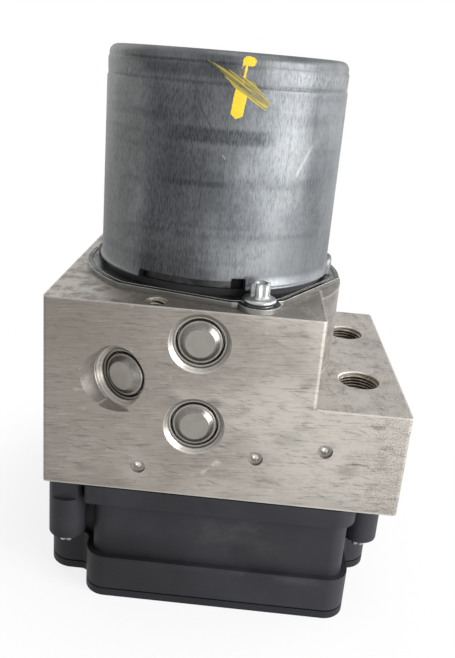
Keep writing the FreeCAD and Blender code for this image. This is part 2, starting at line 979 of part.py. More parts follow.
def housing_shell():
    """Moulded tray: rim band, recessed wall and collar, lower behind the block."""
    rear = block_half_depth + assembly_gap + wall_inset
    shell = rounded_prism(outline(0), cover_thickness, band_top)
    shell = shell.fuse(rounded_prism(outline(wall_inset), band_top, collar_bottom))
    shell = shell.fuse(rounded_prism(outline(0, collar_corner), collar_bottom, housing_top))
    above = block(-housing_edge, housing_edge, rear, housing_rear + overcut, rear_shelf, block_top)
    return shell.cut(above)


def boss(x, y):
    """Screw pillar under the block, with a web back to the housing's wall and a flat outside."""
    inwards = -1 if y > 0 else 1
    outer_y = y - inwards * boss_radius
    flat_y = outer_y + inwards * boss_flat_depth
    web_y = y + inwards * (boss_radius + 2 * wall_inset)
    pillar = cylinder(boss_radius, boss_bottom, housing_top, x, y)
    web = block(x - boss_web / 2, x + boss_web / 2, min(y, web_y), max(y, web_y),
                boss_bottom + boss_flat_height, housing_top)
    past_y = outer_y - inwards * overcut
    flat = block(x - boss_radius, x + boss_radius - boss_flat_depth, min(flat_y, past_y),
                 max(flat_y, past_y), housing_top - boss_flat_height, housing_top + overcut)
    return pillar.fuse(web).cut(flat)


def connector_socket():
    """Shroud that opens upwards behind the block, with a thicker rim."""
    outer = rounded_box(socket_centre_x, socket_y, socket_length, socket_width, socket_corner,
                        rear_shelf - overcut, socket_top)
    rim = rounded_box(socket_centre_x, socket_y, socket_length + 2 * socket_rim,
                      socket_width + 2 * socket_rim, socket_corner + socket_rim,
                      socket_top - socket_rim_height, socket_top - socket_rim_drop)
    return outer.fuse(rim)


def socket_cavity():
    length = socket_length - 2 * socket_wall
    width = socket_width - 2 * socket_wall
    return rounded_box(socket_centre_x, socket_y, length, width, socket_corner - socket_wall / 2,
                       socket_floor, socket_top + overcut)


def contact_places():
    """(x, y, width along X, width along Y) of every contact in the socket."""
    places = []
    first_x = socket_centre_x + contact_shift * contact_pitch - contact_columns * contact_pitch / 2
    first_y = socket_y - (contact_rows - 1) / 2 * contact_row_pitch
    for row in range(contact_rows):
        for column in range(contact_columns):
            x = first_x + column * contact_pitch
            places.append((x, first_y + row * contact_row_pitch, contact_size, contact_size))
    for i in range(blade_columns):
        x = first_x - blade_gap - (i + 1 / 2) * blade_pitch + blade_width / 2
        for side in (-1, 1):
            places.append((x, socket_y + side * contact_row_pitch, blade_width, blade_thickness))
    return places


def contact_bars(gap, z0, z1):
    """One upright bar through each contact's place, wider all round by a gap."""
    bars = []
    for x, y, width, depth in contact_places():
        bars.append(centred_block(x, y, width + 2 * gap, depth + 2 * gap, z0, z1))
    return bars


def guide_window(margin, z0, z1):
    """Block round all contacts, used for the floor's window and for the plate that covers it."""
    places = contact_places()
    x0 = min(x - width / 2 for x, y, width, depth in places) - margin
    x1 = max(x + width / 2 for x, y, width, depth in places) + margin
    y0 = min(y - depth / 2 for x, y, width, depth in places) - margin
    y1 = max(y + depth / 2 for x, y, width, depth in places) + margin
    return block(x0, x1, y0, y1, z0, z1)


def pin_guide():
    """Plate that lies on a step in the socket's floor and holds every contact."""
    bottom = socket_floor - guide_plate_thickness
    plate = guide_window(guide_plate_margin + guide_plate_ledge - seat_gap, bottom, socket_floor)
    return plate.cut(group(contact_bars(seat_gap, bottom - overcut, socket_floor + overcut)))


def ecu_housing():
    inner = wall_inset + housing_wall
    shell = housing_shell()
    for x, y in boss_centres:
        shell = shell.fuse(boss(x, y))
    shell = shell.fuse(connector_socket()).removeSplitter()
    lower = rounded_prism(outline(inner), cover_thickness - overcut, floor_level)
    upper = rounded_prism(outline(inner), floor_top, housing_top + overcut)
    rear = block_half_depth - housing_wall
    upper = upper.cut(block(-housing_edge, housing_edge, rear, housing_rear + overcut, 0, block_top))
    step = guide_window(guide_plate_margin + guide_plate_ledge, socket_floor - guide_plate_thickness,
                        socket_floor + overcut)
    window = guide_window(guide_plate_margin, floor_level - overcut, socket_floor)
    cuts = [lower, upper, socket_cavity(), step, window]
    for x, y in boss_centres:
        cuts.append(cylinder(controller_screw_radius + assembly_gap, boss_bottom - overcut,
                             housing_top + overcut, x, y))
    shell = shell.cut(cuts)
    posts = [cylinder(post_radius, board_top, floor_level + overcut, x, y) for x, y in post_places()]
    return shell.fuse(posts).removeSplitter()


def post_places():
    inset = wall_inset + housing_wall + post_inset
    y = housing_front - inset
    return [(x, side * y) for x in (inset - housing_left, housing_right - inset) for side in (-1, 1)]


def ecu_cover():
    """Flat lid with a drawn-in groove where it is welded to the rim band."""
    lid = rounded_prism(outline(0), 0, cover_thickness - cover_groove)
    lid = lid.fuse(rounded_prism(outline(cover_groove), 0, cover_thickness))
    return lid.removeSplitter()


def housing_seal():
    """Thin gasket between the collar and the block."""
    depth = block_half_depth - housing_wall
    width = seal_inner_inset - seal_outer_inset
    around = block(-housing_edge, housing_edge, -housing_front, depth, 0, block_top)
    within = block(-housing_edge, housing_edge, -housing_front, depth - width, 0, block_top)
    ring = rounded_prism(outline(seal_outer_inset, collar_corner), housing_top, block_bottom)
    hole = rounded_prism(outline(seal_inner_inset, collar_corner), housing_top - overcut,
                         block_bottom + overcut)
    return ring.common(around).cut(hole.common(within))


def circuit_board():
    inset = wall_inset + housing_wall + board_margin
    board = rounded_prism(outline(inset), board_bottom, board_top)
    return board.cut(group(contact_bars(seat_gap, board_bottom - overcut, board_top + overcut)))


def board_parts():
    """Processor, driver chips and capacitors on the board's lower side."""
    parts = []
    for x, y, length, width, height in chips:
        parts.append(centred_block(x, y, length, width, board_bottom - height, board_bottom))
    for i in range(capacitor_count):
        x = capacitor_x + capacitor_pitch * i
        parts.append(cylinder(capacitor_radius, board_bottom - capacitor_height, board_bottom,
                              x, capacitor_y))
    return group(parts)


def connector_pins():
    return group(contact_bars(0, board_bottom, socket_floor + contact_height))


def controller_screw(x, y):
    """Screw driven upwards: star head and flange below the boss, shank up into the block."""
    tip = block_bottom + controller_screw_grip
    under = boss_bottom - controller_screw_flange_height
    shank = cylinder(controller_screw_radius, under, tip, x, y)
    collar = cylinder(controller_screw_flange, under, boss_bottom, x, y)
    drive = star_head(controller_screw_head, controller_screw_head_height, x, y,
                      under - controller_screw_head_height)
    return shank.fuse(collar).fuse(drive).removeSplitter()


def plate_lobe(inset, z0, z1):
    """Round ear for one motor screw, along +X, widening towards the disc."""
    tip = plate_lobe_radius - inset
    near = plate_flat - plate_lobe_foot
    far = motor_screw_circle - plate_lobe_blend
    wide = tip + plate_lobe_neck * 2
    narrow = tip - plate_lobe_inset
    corners = [V(near, -wide, z0), V(far, -narrow, z0), V(far, narrow, z0), V(near, wide, z0)]
    stem = Part.Face(Part.makePolygon(corners + [corners[0]])).extrude(V(0, 0, z1 - z0))
    return cylinder(tip, z0, z1, motor_screw_circle, 0).fuse(stem)


def plate_outline_solid(z0, z1, inset=0.0):
    """Flange disc with flats beside its two screw lobes."""
    cut = block(plate_flat - inset, plate_radius + overcut, -plate_radius, plate_radius,
                z0 - overcut, z1 + overcut)
    cuts = []
    for angle in motor_screw_angles:
        cuts.append(turned(cut, angle - plate_flat_spread))
        cuts.append(turned(cut, angle + plate_flat_spread))
    solid = cylinder(plate_radius - inset, z0, z1).cut(cuts)
    lobe = plate_lobe(inset, z0, z1)
    return solid.fuse([turned(lobe, angle) for angle in motor_screw_angles]).removeSplitter()


def end_plate():
    """Flange of the motor with its bearing hub below and its spigot inside the can."""
    plate = plate_outline_solid(block_top, plate_top)
    groove_floor = plate_top - rim_groove_depth
    groove = plate_outline_solid(groove_floor, plate_top + overcut, rim_groove_inset)
    inner = plate_outline_solid(groove_floor - overcut, plate_top + 2 * overcut,
                                rim_groove_inset + rim_groove_width)
    plate = plate.cut(groove.cut(inner))
    hub_bottom = block_top - hub_depth
    plate = plate.fuse(cylinder(bearing_radius + hub_wall, hub_bottom, bearing_top))
    plate = plate.fuse(tube(can_inner - seat_gap, can_inner - spigot_wall, plate_top - overcut,
                            plate_top + spigot_height))
    cuts = [
        cylinder(bearing_radius, bearing_bottom, bearing_top + overcut),
        cylinder(bearing_radius - hub_lip, hub_bottom - overcut, bearing_bottom + overcut),
        cylinder(contact_tower_radius + seat_gap, block_top - overcut, plate_top + overcut,
                 -contact_tower_x, 0),
    ]
    for angle in motor_screw_angles:
        place = polar(motor_screw_circle, angle)
        cuts.append(cylinder(motor_screw_radius + assembly_gap, block_top - overcut,
                             plate_top + overcut, place.x, place.y))
    return plate.cut(cuts)


def motor_seal():
    return tube(can_radius - seal_inset, can_inner, plate_top, can_bottom)


def can_window(start, end, height):
    """Annular wedge that opens the can's lower edge between two angles."""
    outer = can_radius + 2 * can_lug_proud
    low = can_bottom - overcut
    ring = tube(outer, can_inner - overcut, low, can_bottom + height)
    wedge = Part.makeCylinder(outer + overcut, height + 2 * overcut, V(0, 0, low), Z_AXIS, end - start)
    return ring.common(turned(wedge, start))


def can_lug(width, height):
    """Pressed lug low on the can's side, with a rounded top."""
    foot = plate_top + contact_gap
    middle = max(plate_top + height - width / 2, foot + contact_gap)
    inner = can_radius - can_lug_bite
    outer = can_radius + can_lug_proud
    arch = Part.makeCylinder(width / 2, outer - inner, V(inner, 0, middle), X_AXIS)
    arch = arch.common(block(inner, outer, -width / 2, width / 2, middle, middle + width))
    return arch.fuse(block(inner, outer, -width / 2, width / 2, foot, middle)).removeSplitter()


def can_wall_outside():
    """Drawn cup's outer form: full radius, a small step in near the top and a rounded shoulder."""
    step = can_top - can_step_drop
    cup = cylinder(can_radius - can_step, can_bottom, can_top)
    rim = [e for e in cup.Edges if e.BoundBox.ZMin > can_top - overcut and len(e.Vertexes) == 1]
    cup = cup.makeFillet(can_shoulder, rim)
    recess = tube(can_radius - can_recess_rim, can_recess_inner, can_top - can_recess_depth,
                  can_top + overcut)
    return cup.fuse(cylinder(can_radius, can_bottom, step)).cut(recess)


def motor_can():
    """Deep drawn can, closed at the top, with a rolled lip, a window, a slot and two lugs."""
    lip_top = can_bottom + can_lip_height
    lip = revolved([
        (can_radius - can_lug_bite, can_bottom),
        (can_radius + can_lip, can_bottom),
        (can_radius + can_lip, lip_top),
        (can_radius, lip_top + can_lip),
        (can_radius - can_lug_bite, lip_top + can_lip),
    ])
    body = can_wall_outside().fuse(lip)
    for angle, width, height in can_lugs:
        body = body.fuse(turned(can_lug(width, height), angle))
    body = body.cut(cylinder(can_inner, can_bottom - overcut, can_ceiling))
    slot_end = can_window_end + math.degrees(can_slot_width / can_radius)
    return body.cut([
        can_window(can_window_start, can_window_end, can_window_height),
        can_window(can_window_end - can_window_overlap, slot_end, can_slot_height),
    ]).removeSplitter()


def magnets():
    outer = can_inner - seat_gap
    ring = tube(outer, outer - magnet_thickness, magnet_start, magnet_start + magnet_length)
    wedge = Part.makeCylinder(can_radius, magnet_length + 2 * overcut, V(0, 0, magnet_start - overcut),
                              Z_AXIS, magnet_span)
    magnet = ring.common(wedge)
    step = full_turn / magnet_count
    return group([turned(magnet, step * i - magnet_span / 2) for i in range(magnet_count)])


def motor_screw(angle):
    place = polar(motor_screw_circle, angle)
    x = place.x
    y = place.y
    top = plate_top + motor_screw_flange_height
    shank = cylinder(motor_screw_radius, block_top - motor_screw_grip, top, x, y)
    flange = Part.makeCone(motor_screw_flange, motor_screw_head + motor_screw_cone,
                           motor_screw_flange_height, V(x, y, top))
    collar = cylinder(motor_screw_flange, plate_top, top, x, y)
    head = star_head(motor_screw_head, motor_screw_head_height, x, y, top)
    return shank.fuse(collar).fuse(flange).fuse(head).removeSplitter()


def can_bush():
    return tube(shaft_radius + can_bush_wall, shaft_radius + running_gap,
                can_ceiling - can_bush_length, can_ceiling)


def rotor_shaft():
    """Motor shaft with three eccentrics below its ball bearing."""
    neck = chamber_floor + overcut
    shaft = cylinder(shaft_end_radius, shaft_bottom, neck)
    shaft = shaft.fuse(cylinder(shaft_radius, neck, shaft_top))
    half = eccentric_width / 2
    for level, angle in eccentrics:
        centre = polar(eccentric_offset, angle)
        shaft = shaft.fuse(cylinder(eccentric_radius, level - half, level + half,
                                    centre.x, centre.y))
    return shaft.removeSplitter()


def needle_rollers(level, angle):
    """Rollers between one eccentric and its ring."""
    rollers = []
    circle = eccentric_radius + roller_radius + running_gap
    half = eccentric_width / 2 - roller_end_gap
    centre = polar(eccentric_offset, angle)
    for i in range(roller_count):
        place = centre + polar(circle, full_turn * i / roller_count)
        rollers.append(cylinder(roller_radius, level - half, level + half, place.x, place.y))
    return group(rollers)


def eccentric_ring(level, angle):
    centre = polar(eccentric_offset, angle)
    half = eccentric_width / 2
    return tube(ring_outer_radius, ring_inner_radius, level - half, level + half,
                centre.x, centre.y)


def end_bush():
    outer = shaft_end_radius + end_bush_wall
    return tube(outer, shaft_end_radius + running_gap, chamber_floor - end_bush_length, chamber_floor)


def bearing_outer_ring():
    ring = tube(bearing_radius, bearing_radius - bearing_race, bearing_bottom, bearing_top)
    return ring.cut(ball_track())


def bearing_inner_ring():
    ring = tube(shaft_radius + bearing_race, shaft_radius, bearing_bottom, bearing_top)
    return ring.cut(ball_track())


def ball_circle():
    return (bearing_radius + shaft_radius) / 2


def ball_track():
    return Part.makeTorus(ball_circle(), bearing_ball + running_gap, V(0, 0, bearing_middle))


def bearing_ball_group():
    balls = []
    for i in range(bearing_ball_count):
        place = polar(ball_circle(), full_turn * i / bearing_ball_count, bearing_middle)
        balls.append(Part.makeSphere(bearing_ball, place))
    return group(balls)


def bearing_cage():
    """Ring between the races with a round pocket for each ball."""
    half = cage_height / 2
    ring = tube(ball_circle() + cage_wall / 2, ball_circle() - cage_wall / 2, bearing_middle - half,
                bearing_middle + half)
    pocket = Part.makeCylinder(bearing_ball + contact_gap, bearing_radius, V(0, 0, bearing_middle),
                               X_AXIS)
    step = full_turn / bearing_ball_count
    return ring.cut([turned(pocket, step * i) for i in range(bearing_ball_count)])


def rotor_core():
    """Laminated core with its slots open to the outside, pressed on the shaft."""
    core = tube(core_radius, shaft_radius, core_start, core_end)
    low = core_start - overcut
    high = core_end + overcut
    slot = cylinder(slot_radius, low, high, slot_circle, 0)
    mouth = block(slot_circle, core_radius + overcut, -slot_mouth / 2, slot_mouth / 2, low, high)
    slot = slot.fuse(mouth)
    return core.cut([turned(slot, full_turn * i / core_slots) for i in range(core_slots)])


def rotor_windings():
    """Wire bundles through the slots, joined by the end windings."""
    low = core_start - winding_overhang
    high = core_end + winding_overhang
    windings = tube(winding_outer, winding_inner, low, core_start - contact_gap)
    windings = windings.fuse(tube(winding_outer, winding_inner, core_end + contact_gap, high))
    bundle = cylinder(slot_radius - contact_gap, low + winding_overhang / 2,
                      high - winding_overhang / 2, slot_circle, 0)
    bundles = [turned(bundle, full_turn * i / core_slots) for i in range(core_slots)]
    return windings.fuse(bundles).removeSplitter()


def commutator():
    ring = tube(commutator_radius, shaft_radius, commutator_start, commutator_end)
    gap = block(commutator_radius - bar_gap_depth, commutator_radius + overcut, -bar_gap / 2,
                bar_gap / 2, commutator_start - overcut, commutator_end - commutator_collar)
    return ring.cut([turned(gap, full_turn * i / commutator_bars) for i in range(commutator_bars)])


def brush_holder():
    """Moulded plate inside the can with a square guide box for each brush."""
    plate = tube(holder_radius, holder_opening, holder_level, holder_top)
    half = brush_width / 2 + contact_gap
    tall = brush_height / 2 + contact_gap
    box = block(brush_box_start, brush_box_end, -half - brush_box_wall, half + brush_box_wall,
                holder_level, brush_level + tall + brush_box_wall)
    channel = block(holder_opening - overcut, brush_box_end - brush_box_wall, -half, half,
                    brush_level - tall, brush_level + tall)
    sides = (quarter_turn, quarter_turn + half_turn)
    plate = plate.fuse([turned(box, side) for side in sides])
    cuts = [turned(channel, side) for side in sides]
    cuts.append(cylinder(contact_tower_radius + seat_gap, holder_level - overcut,
                         holder_top + overcut, -contact_tower_x, 0))
    return plate.cut(cuts).removeSplitter()


def brush(angle):
    low = brush_level - brush_height / 2
    high = brush_level + brush_height / 2
    bar = block(brush_start, brush_start + brush_length, -brush_width / 2, brush_width / 2, low, high)
    face = cylinder(brush_start, low - overcut, high + overcut)
    return turned(bar.cut(face), angle)


def brush_spring(angle):
    start = brush_start + brush_length + contact_gap
    end = brush_box_end - brush_box_wall - contact_gap
    spring = coil_spring(brush_width / 2 - brush_spring_wire, brush_spring_wire,
                         brush_spring_turns, start, end)
    return laid_out(spring, angle, brush_level)


def motor_contact():
    """Stem through the block that brings the two supply blades down to the controller."""
    bottom = block_bottom - contact_blade_drop
    top = holder_top + contact_blade_rise
    stem = cylinder(contact_tower_radius, block_bottom - contact_tower_drop, holder_top,
                    -contact_tower_x, 0)
    for side in (-1, 1):
        stem = stem.fuse(centred_block(-contact_tower_x, side * contact_blade_y, contact_blade_width,
                                       contact_blade_thickness, bottom, top))
    return stem.removeSplitter()


def build_pump_parts():
    caps = []
    guides = []
    for number, (angle, level, reach) in enumerate(pump_elements, 1):
        caps.append(laid_out(pump_cap(reach), angle, level))
        guides.append(laid_out(pump_guide(reach), angle, level))
        save("pump_plunger_%d" % number, laid_out(plunger(), angle, level))
        save("plunger_spring_%d" % number, laid_out(plunger_spring(reach), angle, level))
    save("pump_caps", group(caps))
    save("pump_sleeves", group(guides))
    for number, (level, angle) in enumerate(eccentrics, 1):
        save("needle_rollers_%d" % number, needle_rollers(level, angle))
        save("eccentric_ring_%d" % number, eccentric_ring(level, angle))
    save("rotor_shaft", rotor_shaft())
    save("end_bush", end_bush())


def build_block_parts():
    save("hydraulic_block", hydraulic_block())
    save("ball_plugs", ball_plug_group())
    caps = []
    floor_x = -block_left + accumulator_depth
    for side, name in ((-1, "front"), (1, "rear")):
        place = (floor_x, side * accumulator_y, accumulator_level)
        save("accumulator_piston_" + name, pointing(accumulator_piston(), "left", *place))
        save("accumulator_spring_" + name, pointing(accumulator_spring(), "left", *place))
        caps.append(pointing(accumulator_cap(), "left", *place))
    save("accumulator_caps", group(caps))
    edge_y = max(valve_ys) - overcut
    outlet_dome = valve_dome_length - outlet_dome_cut
    inlet = [moved(valve(valve_dome_length), x, y, 0) for x, y in valve_places if abs(y) < edge_y]
    outlet = [moved(valve(outlet_dome), x, y, 0) for x, y in valve_places if abs(y) > edge_y]
    save("inlet_valves", group(inlet))
    save("outlet_valves", group(outlet))
    save("pressure_sensor", moved(pressure_sensor(), -sensor_x, 0, 0))
    save("motor_contact", motor_contact())


def build_motor_parts():
    save("motor_can", motor_can())
    save("magnets", magnets())
    save("can_bush", can_bush())
    save("end_plate", end_plate())
    save("motor_seal", motor_seal())
    save("motor_screws", group([motor_screw(angle) for angle in motor_screw_angles]))
    save("bearing_outer_ring", bearing_outer_ring())
    save("bearing_balls", bearing_ball_group())
    save("bearing_cage", bearing_cage())
    save("bearing_inner_ring", bearing_inner_ring())
    save("rotor_core", rotor_core())
    save("rotor_windings", rotor_windings())
    save("commutator", commutator())
    save("brush_holder", brush_holder())
    for number, angle in enumerate((back, front), 1):
        save("brush_%d" % number, brush(angle))
        save("brush_spring_%d" % number, brush_spring(angle))


def build_controller_parts():
    save("ecu_housing", ecu_housing())
    save("ecu_cover", ecu_cover())
    save("housing_seal", housing_seal())
    save("circuit_board", circuit_board())
    save("board_parts", board_parts())
    save("pin_guide", pin_guide())
    save("connector_pins", connector_pins())
    save("valve_coils", group([moved(coil(), x, y, 0) for x, y in valve_places]))
    save("housing_screws", group([controller_screw(x, y) for x, y in boss_centres]))


os.makedirs("parts", exist_ok=True)
build_block_parts()
build_pump_parts()
build_motor_parts()
build_controller_parts()
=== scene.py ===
import json
import math

import bmesh
import bpy
import numpy as np
from mathutils import Matrix, Vector


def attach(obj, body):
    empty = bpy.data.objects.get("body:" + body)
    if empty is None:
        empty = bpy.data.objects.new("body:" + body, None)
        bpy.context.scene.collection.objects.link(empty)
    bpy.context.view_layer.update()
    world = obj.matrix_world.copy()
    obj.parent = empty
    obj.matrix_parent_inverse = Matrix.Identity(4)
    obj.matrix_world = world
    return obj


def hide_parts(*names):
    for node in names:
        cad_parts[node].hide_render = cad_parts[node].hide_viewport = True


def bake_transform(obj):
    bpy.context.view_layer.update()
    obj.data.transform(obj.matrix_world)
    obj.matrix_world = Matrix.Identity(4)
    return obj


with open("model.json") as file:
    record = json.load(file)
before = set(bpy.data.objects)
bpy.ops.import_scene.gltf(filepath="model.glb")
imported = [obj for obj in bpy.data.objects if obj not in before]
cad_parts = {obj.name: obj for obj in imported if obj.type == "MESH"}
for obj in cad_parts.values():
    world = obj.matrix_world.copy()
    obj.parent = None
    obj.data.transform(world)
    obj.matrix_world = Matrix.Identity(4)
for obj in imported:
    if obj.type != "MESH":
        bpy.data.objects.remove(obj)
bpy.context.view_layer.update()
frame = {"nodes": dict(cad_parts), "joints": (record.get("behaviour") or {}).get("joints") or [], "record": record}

nodes = frame["nodes"]
scene = bpy.context.scene
mm = 0.001
print("frame loaded:", len(nodes), "nodes")


def boxOf(node):  # lowest and highest corner of a solid, in millimetres
    corners = np.array(nodes[node].bound_box) / mm
    return corners.min(axis=0).round(3).tolist(), corners.max(axis=0).round(3).tolist()


# A brake pressure unit: a machined block with a pump motor on top and a black controller below. +Z is up along
# the motor's axis, -Y looks from the face with the pump plugs, and +X is the side of the ledge with two ports.
# Sizes and places that several pieces and finishes share, in millimetres and degrees
blockLow, blockHigh = boxOf("hydraulic_block")
block = {"left": blockLow[0], "right": blockHigh[0], "halfDepth": blockHigh[1], "wall": 34.8,
         "bottom": blockLow[2], "ledge": 72.5, "top": blockHigh[2]}
shell = {"radius": 37.0, "thick": 2.0, "bottom": 103.1, "top": boxOf("motor_can")[1][2]}
pump = {"upper": 89.2, "middle": 76.2, "lower": 63.2, "slant": 27.5, "reach": 45.0, "slantedReach": 48.602}
ledgePort = {"x": 49.8, "y": 21.3}


# Shader helpers
class Val:  # one output socket; the usual operators add Math nodes
    def __init__(self, network, socket):
        self.network = network
        self.socket = socket

    def __add__(self, other):
        return self.network.maths("ADD", self, other)

    def __radd__(self, other):
        return self.network.maths("ADD", other, self)

    def __sub__(self, other):
        return self.network.maths("SUBTRACT", self, other)

    def __rsub__(self, other):
        return self.network.maths("SUBTRACT", other, self)

    def __mul__(self, other):
        return self.network.maths("MULTIPLY", self, other)

    def __rmul__(self, other):
        return self.network.maths("MULTIPLY", other, self)

    def __truediv__(self, other):
        return self.network.maths("DIVIDE", self, other)

    def __rtruediv__(self, other):
        return self.network.maths("DIVIDE", other, self)

    def __pow__(self, other):
        return self.network.maths("POWER", self, other)

    def __abs__(self):
        return self.network.maths("ABSOLUTE", self)

    def least(self, other):
        return self.network.maths("MINIMUM", self, other)

    def most(self, other):
        return self.network.maths("MAXIMUM", self, other)

    def root(self):
        return self.network.maths("SQRT", self)


class Network:  # the nodes of a material or of the world
    def __init__(self, tree):
        self.tree = tree

    def node(self, kind, settings=None, sockets=None):
        made = self.tree.nodes.new(kind)
        for key, value in (settings or {}).items():
            setattr(made, key, value)
        for key, value in (sockets or {}).items():
            if isinstance(value, Val):
                self.tree.links.new(value.socket, made.inputs[key])
            else:
                made.inputs[key].default_value = value
        return made

    def out(self, made, key=0):
        return Val(self, made.outputs[key])

    def maths(self, operation, a, b=None):
        sockets = {0: a} if b is None else {0: a, 1: b}
        return self.out(self.node("ShaderNodeMath", {"operation": operation}, sockets))

    def seen(self):  # 1 where the camera, a reflection or a clear piece looks at the surface
        path = self.node("ShaderNodeLightPath")
        rays = ("Is Camera Ray", "Is Glossy Ray", "Is Transmission Ray")
        eye, glossy, clear = (self.out(path, ray) for ray in rays)
        return eye.most(glossy).most(clear)


class Finish(Network):  # a material with one Principled BSDF
    def __init__(self, name, colour=(0.5, 0.5, 0.5), metallic=0.0, roughness=0.5, fixed=None):
        self.material = bpy.data.materials.new(name)
        self.material.use_nodes = True
        super().__init__(self.material.node_tree)
        self.tree.nodes.clear()
        sockets = {"Base Color": (*colour, 1), "Metallic": metallic, "Roughness": roughness, **(fixed or {})}
        self.shader = self.node("ShaderNodeBsdfPrincipled", {}, sockets)
        self.output = self.node("ShaderNodeOutputMaterial", {}, {"Surface": self.out(self.shader, "BSDF")})
        place = self.out(self.node("ShaderNodeTexCoord"), "Object")
        self.place = self.mapped(place, {"Scale": (1 / mm, 1 / mm, 1 / mm)})  # patterns count in millimetres
        split = self.node("ShaderNodeSeparateXYZ", {}, {"Vector": self.place})
        self.x, self.y, self.z = (self.out(split, i) for i in range(3))

    def mapped(self, vector, sockets):
        return self.out(self.node("ShaderNodeMapping", {}, {"Vector": vector, **sockets}))

    def stretch(self, x, y, z, shift=0.0, vector=None):  # the place in millimetres, squeezed along each axis
        location = (shift, shift * 1.7, shift * 0.6)
        return self.mapped(vector or self.place, {"Scale": (x, y, z), "Location": location})

    def tilt(self, degrees):  # the place turned about Y
        return self.mapped(self.place, {"Rotation": (0, math.radians(degrees), 0)})

    def noise(self, vector=None, scale=1.0, detail=3.0, rough=0.5, bend=0.0):
        made = self.node("ShaderNodeTexNoise", {}, {
            "Vector": vector or self.place, "Scale": scale, "Detail": detail, "Roughness": rough,
            "Distortion": bend})
        return self.out(made)

    def cells(self, vector=None, scale=1.0):  # distance from the nearest of many scattered points
        made = self.node("ShaderNodeTexVoronoi", {}, {"Vector": vector or self.place, "Scale": scale})
        return self.out(made, "Distance")

    def step(self, value, low, high):  # 0 below low, 1 above high; falls where low is above high
        flip = low > high
        made = self.node("ShaderNodeMapRange", {"interpolation_type": "SMOOTHSTEP"}, {
            "Value": value, "From Min": min(low, high), "From Max": max(low, high),
            "To Min": 1.0 if flip else 0.0, "To Max": 0.0 if flip else 1.0})
        return self.out(made)

    def band(self, value, low, high, soft):  # 1 from low to high
        return self.step(value, low - soft, low + soft) * self.step(value, high + soft, high - soft)

    def blend(self, mask, a, b):  # colour a where the mask is 0, b where it is 1
        a, b = ((*c, 1) if isinstance(c, tuple) else c for c in (a, b))
        made = self.node("ShaderNodeMix", {"data_type": "RGBA", "clamp_factor": True}, {0: mask, 6: a, 7: b})
        return self.out(made, 2)

    def layered(self, colour, layers):  # each layer's mask lays its tone over what is there
        for mask, tone in layers:
            colour = self.blend(mask, colour, tone)
        return colour

    def level(self, mask, a, b):  # number a where the mask is 0, b where it is 1
        made = self.node("ShaderNodeMix", {"data_type": "FLOAT", "clamp_factor": True}, {0: mask, 2: a, 3: b})
        return self.out(made)

    def flatness(self):  # 1 on faces that look straight up or down, 0 on upright ones
        normal = self.out(self.node("ShaderNodeNewGeometry"), "Normal")
        return abs(self.out(self.node("ShaderNodeSeparateXYZ", {}, {"Vector": normal}), 2))

    def upward(self):  # 1 on all faces that look up or down
        return self.step(self.flatness(), 0.6, 0.8)

    def ring(self, u, v, u0, v0):  # distance of the point (u, v) from an axis
        return ((u - u0) ** 2.0 + (v - v0) ** 2.0).root()

    def toLine(self, u, v, start, end):  # distance from the point (u, v) to the line between two points
        du, dv = end[0] - start[0], end[1] - start[1]
        along = ((u - start[0]) * du + (v - start[1]) * dv) / (du * du + dv * dv)
        along = along.most(0.0).least(1.0)
        return ((u - start[0] - along * du) ** 2.0 + (v - start[1] - along * dv) ** 2.0).root()

    def brokenLine(self, u, points):  # height of a line through (u, v) points: each kink changes the slope
        slope = (points[1][1] - points[0][1]) / (points[1][0] - points[0][0])
        height = points[0][1] + slope * (u - points[0][0])
        for (u0, v0), (u1, v1) in zip(points[1:-1], points[2:]):
            turn = (v1 - v0) / (u1 - u0) - slope
            slope += turn
            height = height + turn * (u - u0).most(0.0)
        return height

    def set(self, sockets):
        for key, value in sockets.items():
            self.tree.links.new(value.socket, self.shader.inputs[key])

    def bump(self, height, depth, strength=0.5):  # depth in millimetres
        sockets = {"Height": height, "Distance": depth * mm, "Strength": strength}
        made = self.node("ShaderNodeBump", {}, sockets)
        self.set({"Normal": self.out(made)})


# Mesh helpers
def gridFaces(rows, columns, wrapRows=False, wrapColumns=True):
    # quads between the points (row, column) of a grid, numbered row by row
    r = np.arange(rows if wrapRows else rows - 1)
    c = np.arange(columns if wrapColumns else columns - 1)
    r, c = np.meshgrid(r, c, indexing="ij")
    r2, c2 = (r + 1) % rows, (c + 1) % columns
    quads = np.stack([r * columns + c, r * columns + c2, r2 * columns + c2, r2 * columns + c], -1)
    return quads.reshape(-1, 4).tolist()


def carriedRound(radius, angle, height):
    # a section carried round Z: x = r cos a, y = r sin a
    return np.stack(np.broadcast_arrays(radius * np.cos(angle), radius * np.sin(angle), height), -1)


def softened(corners, steps=5):
    # profile through (radius, height, fillet) corners: a fillet is a quadratic arc between its tangent points
    points = []
    for i, (r, z, fillet) in enumerate(corners):
        here = np.array([r, z])
        if fillet == 0:
            points.append(here[None])
            continue
        back, on = (np.array(corners[j][:2]) - here for j in (i - 1, i + 1))
        back, on = (v / np.linalg.norm(v) * min(fillet, np.linalg.norm(v) * 0.49) for v in (back, on))
        t = np.linspace(0, 1, steps + 1)[:, None]
        points.append((1 - t) ** 2 * (here + back) + 2 * t * (1 - t) * here + t ** 2 * (here + on))
    return np.concatenate(points)


def placed(points, axis="z", centre=(0, 0, 0), turn=0.0):
    # points built along +Z, laid along an axis, turned about Z and moved to the centre
    quarter = math.pi / 2
    spin = {"z": Matrix.Identity(3), "x": Matrix.Rotation(quarter, 3, "Y"),
            "back": Matrix.Rotation(-quarter, 3, "X"), "left": Matrix.Rotation(-quarter, 3, "Y")}[axis]
    spin = Matrix.Rotation(turn, 3, "Z") @ spin
    return points.reshape(-1, 3) @ np.array(spin).T + np.array(centre)


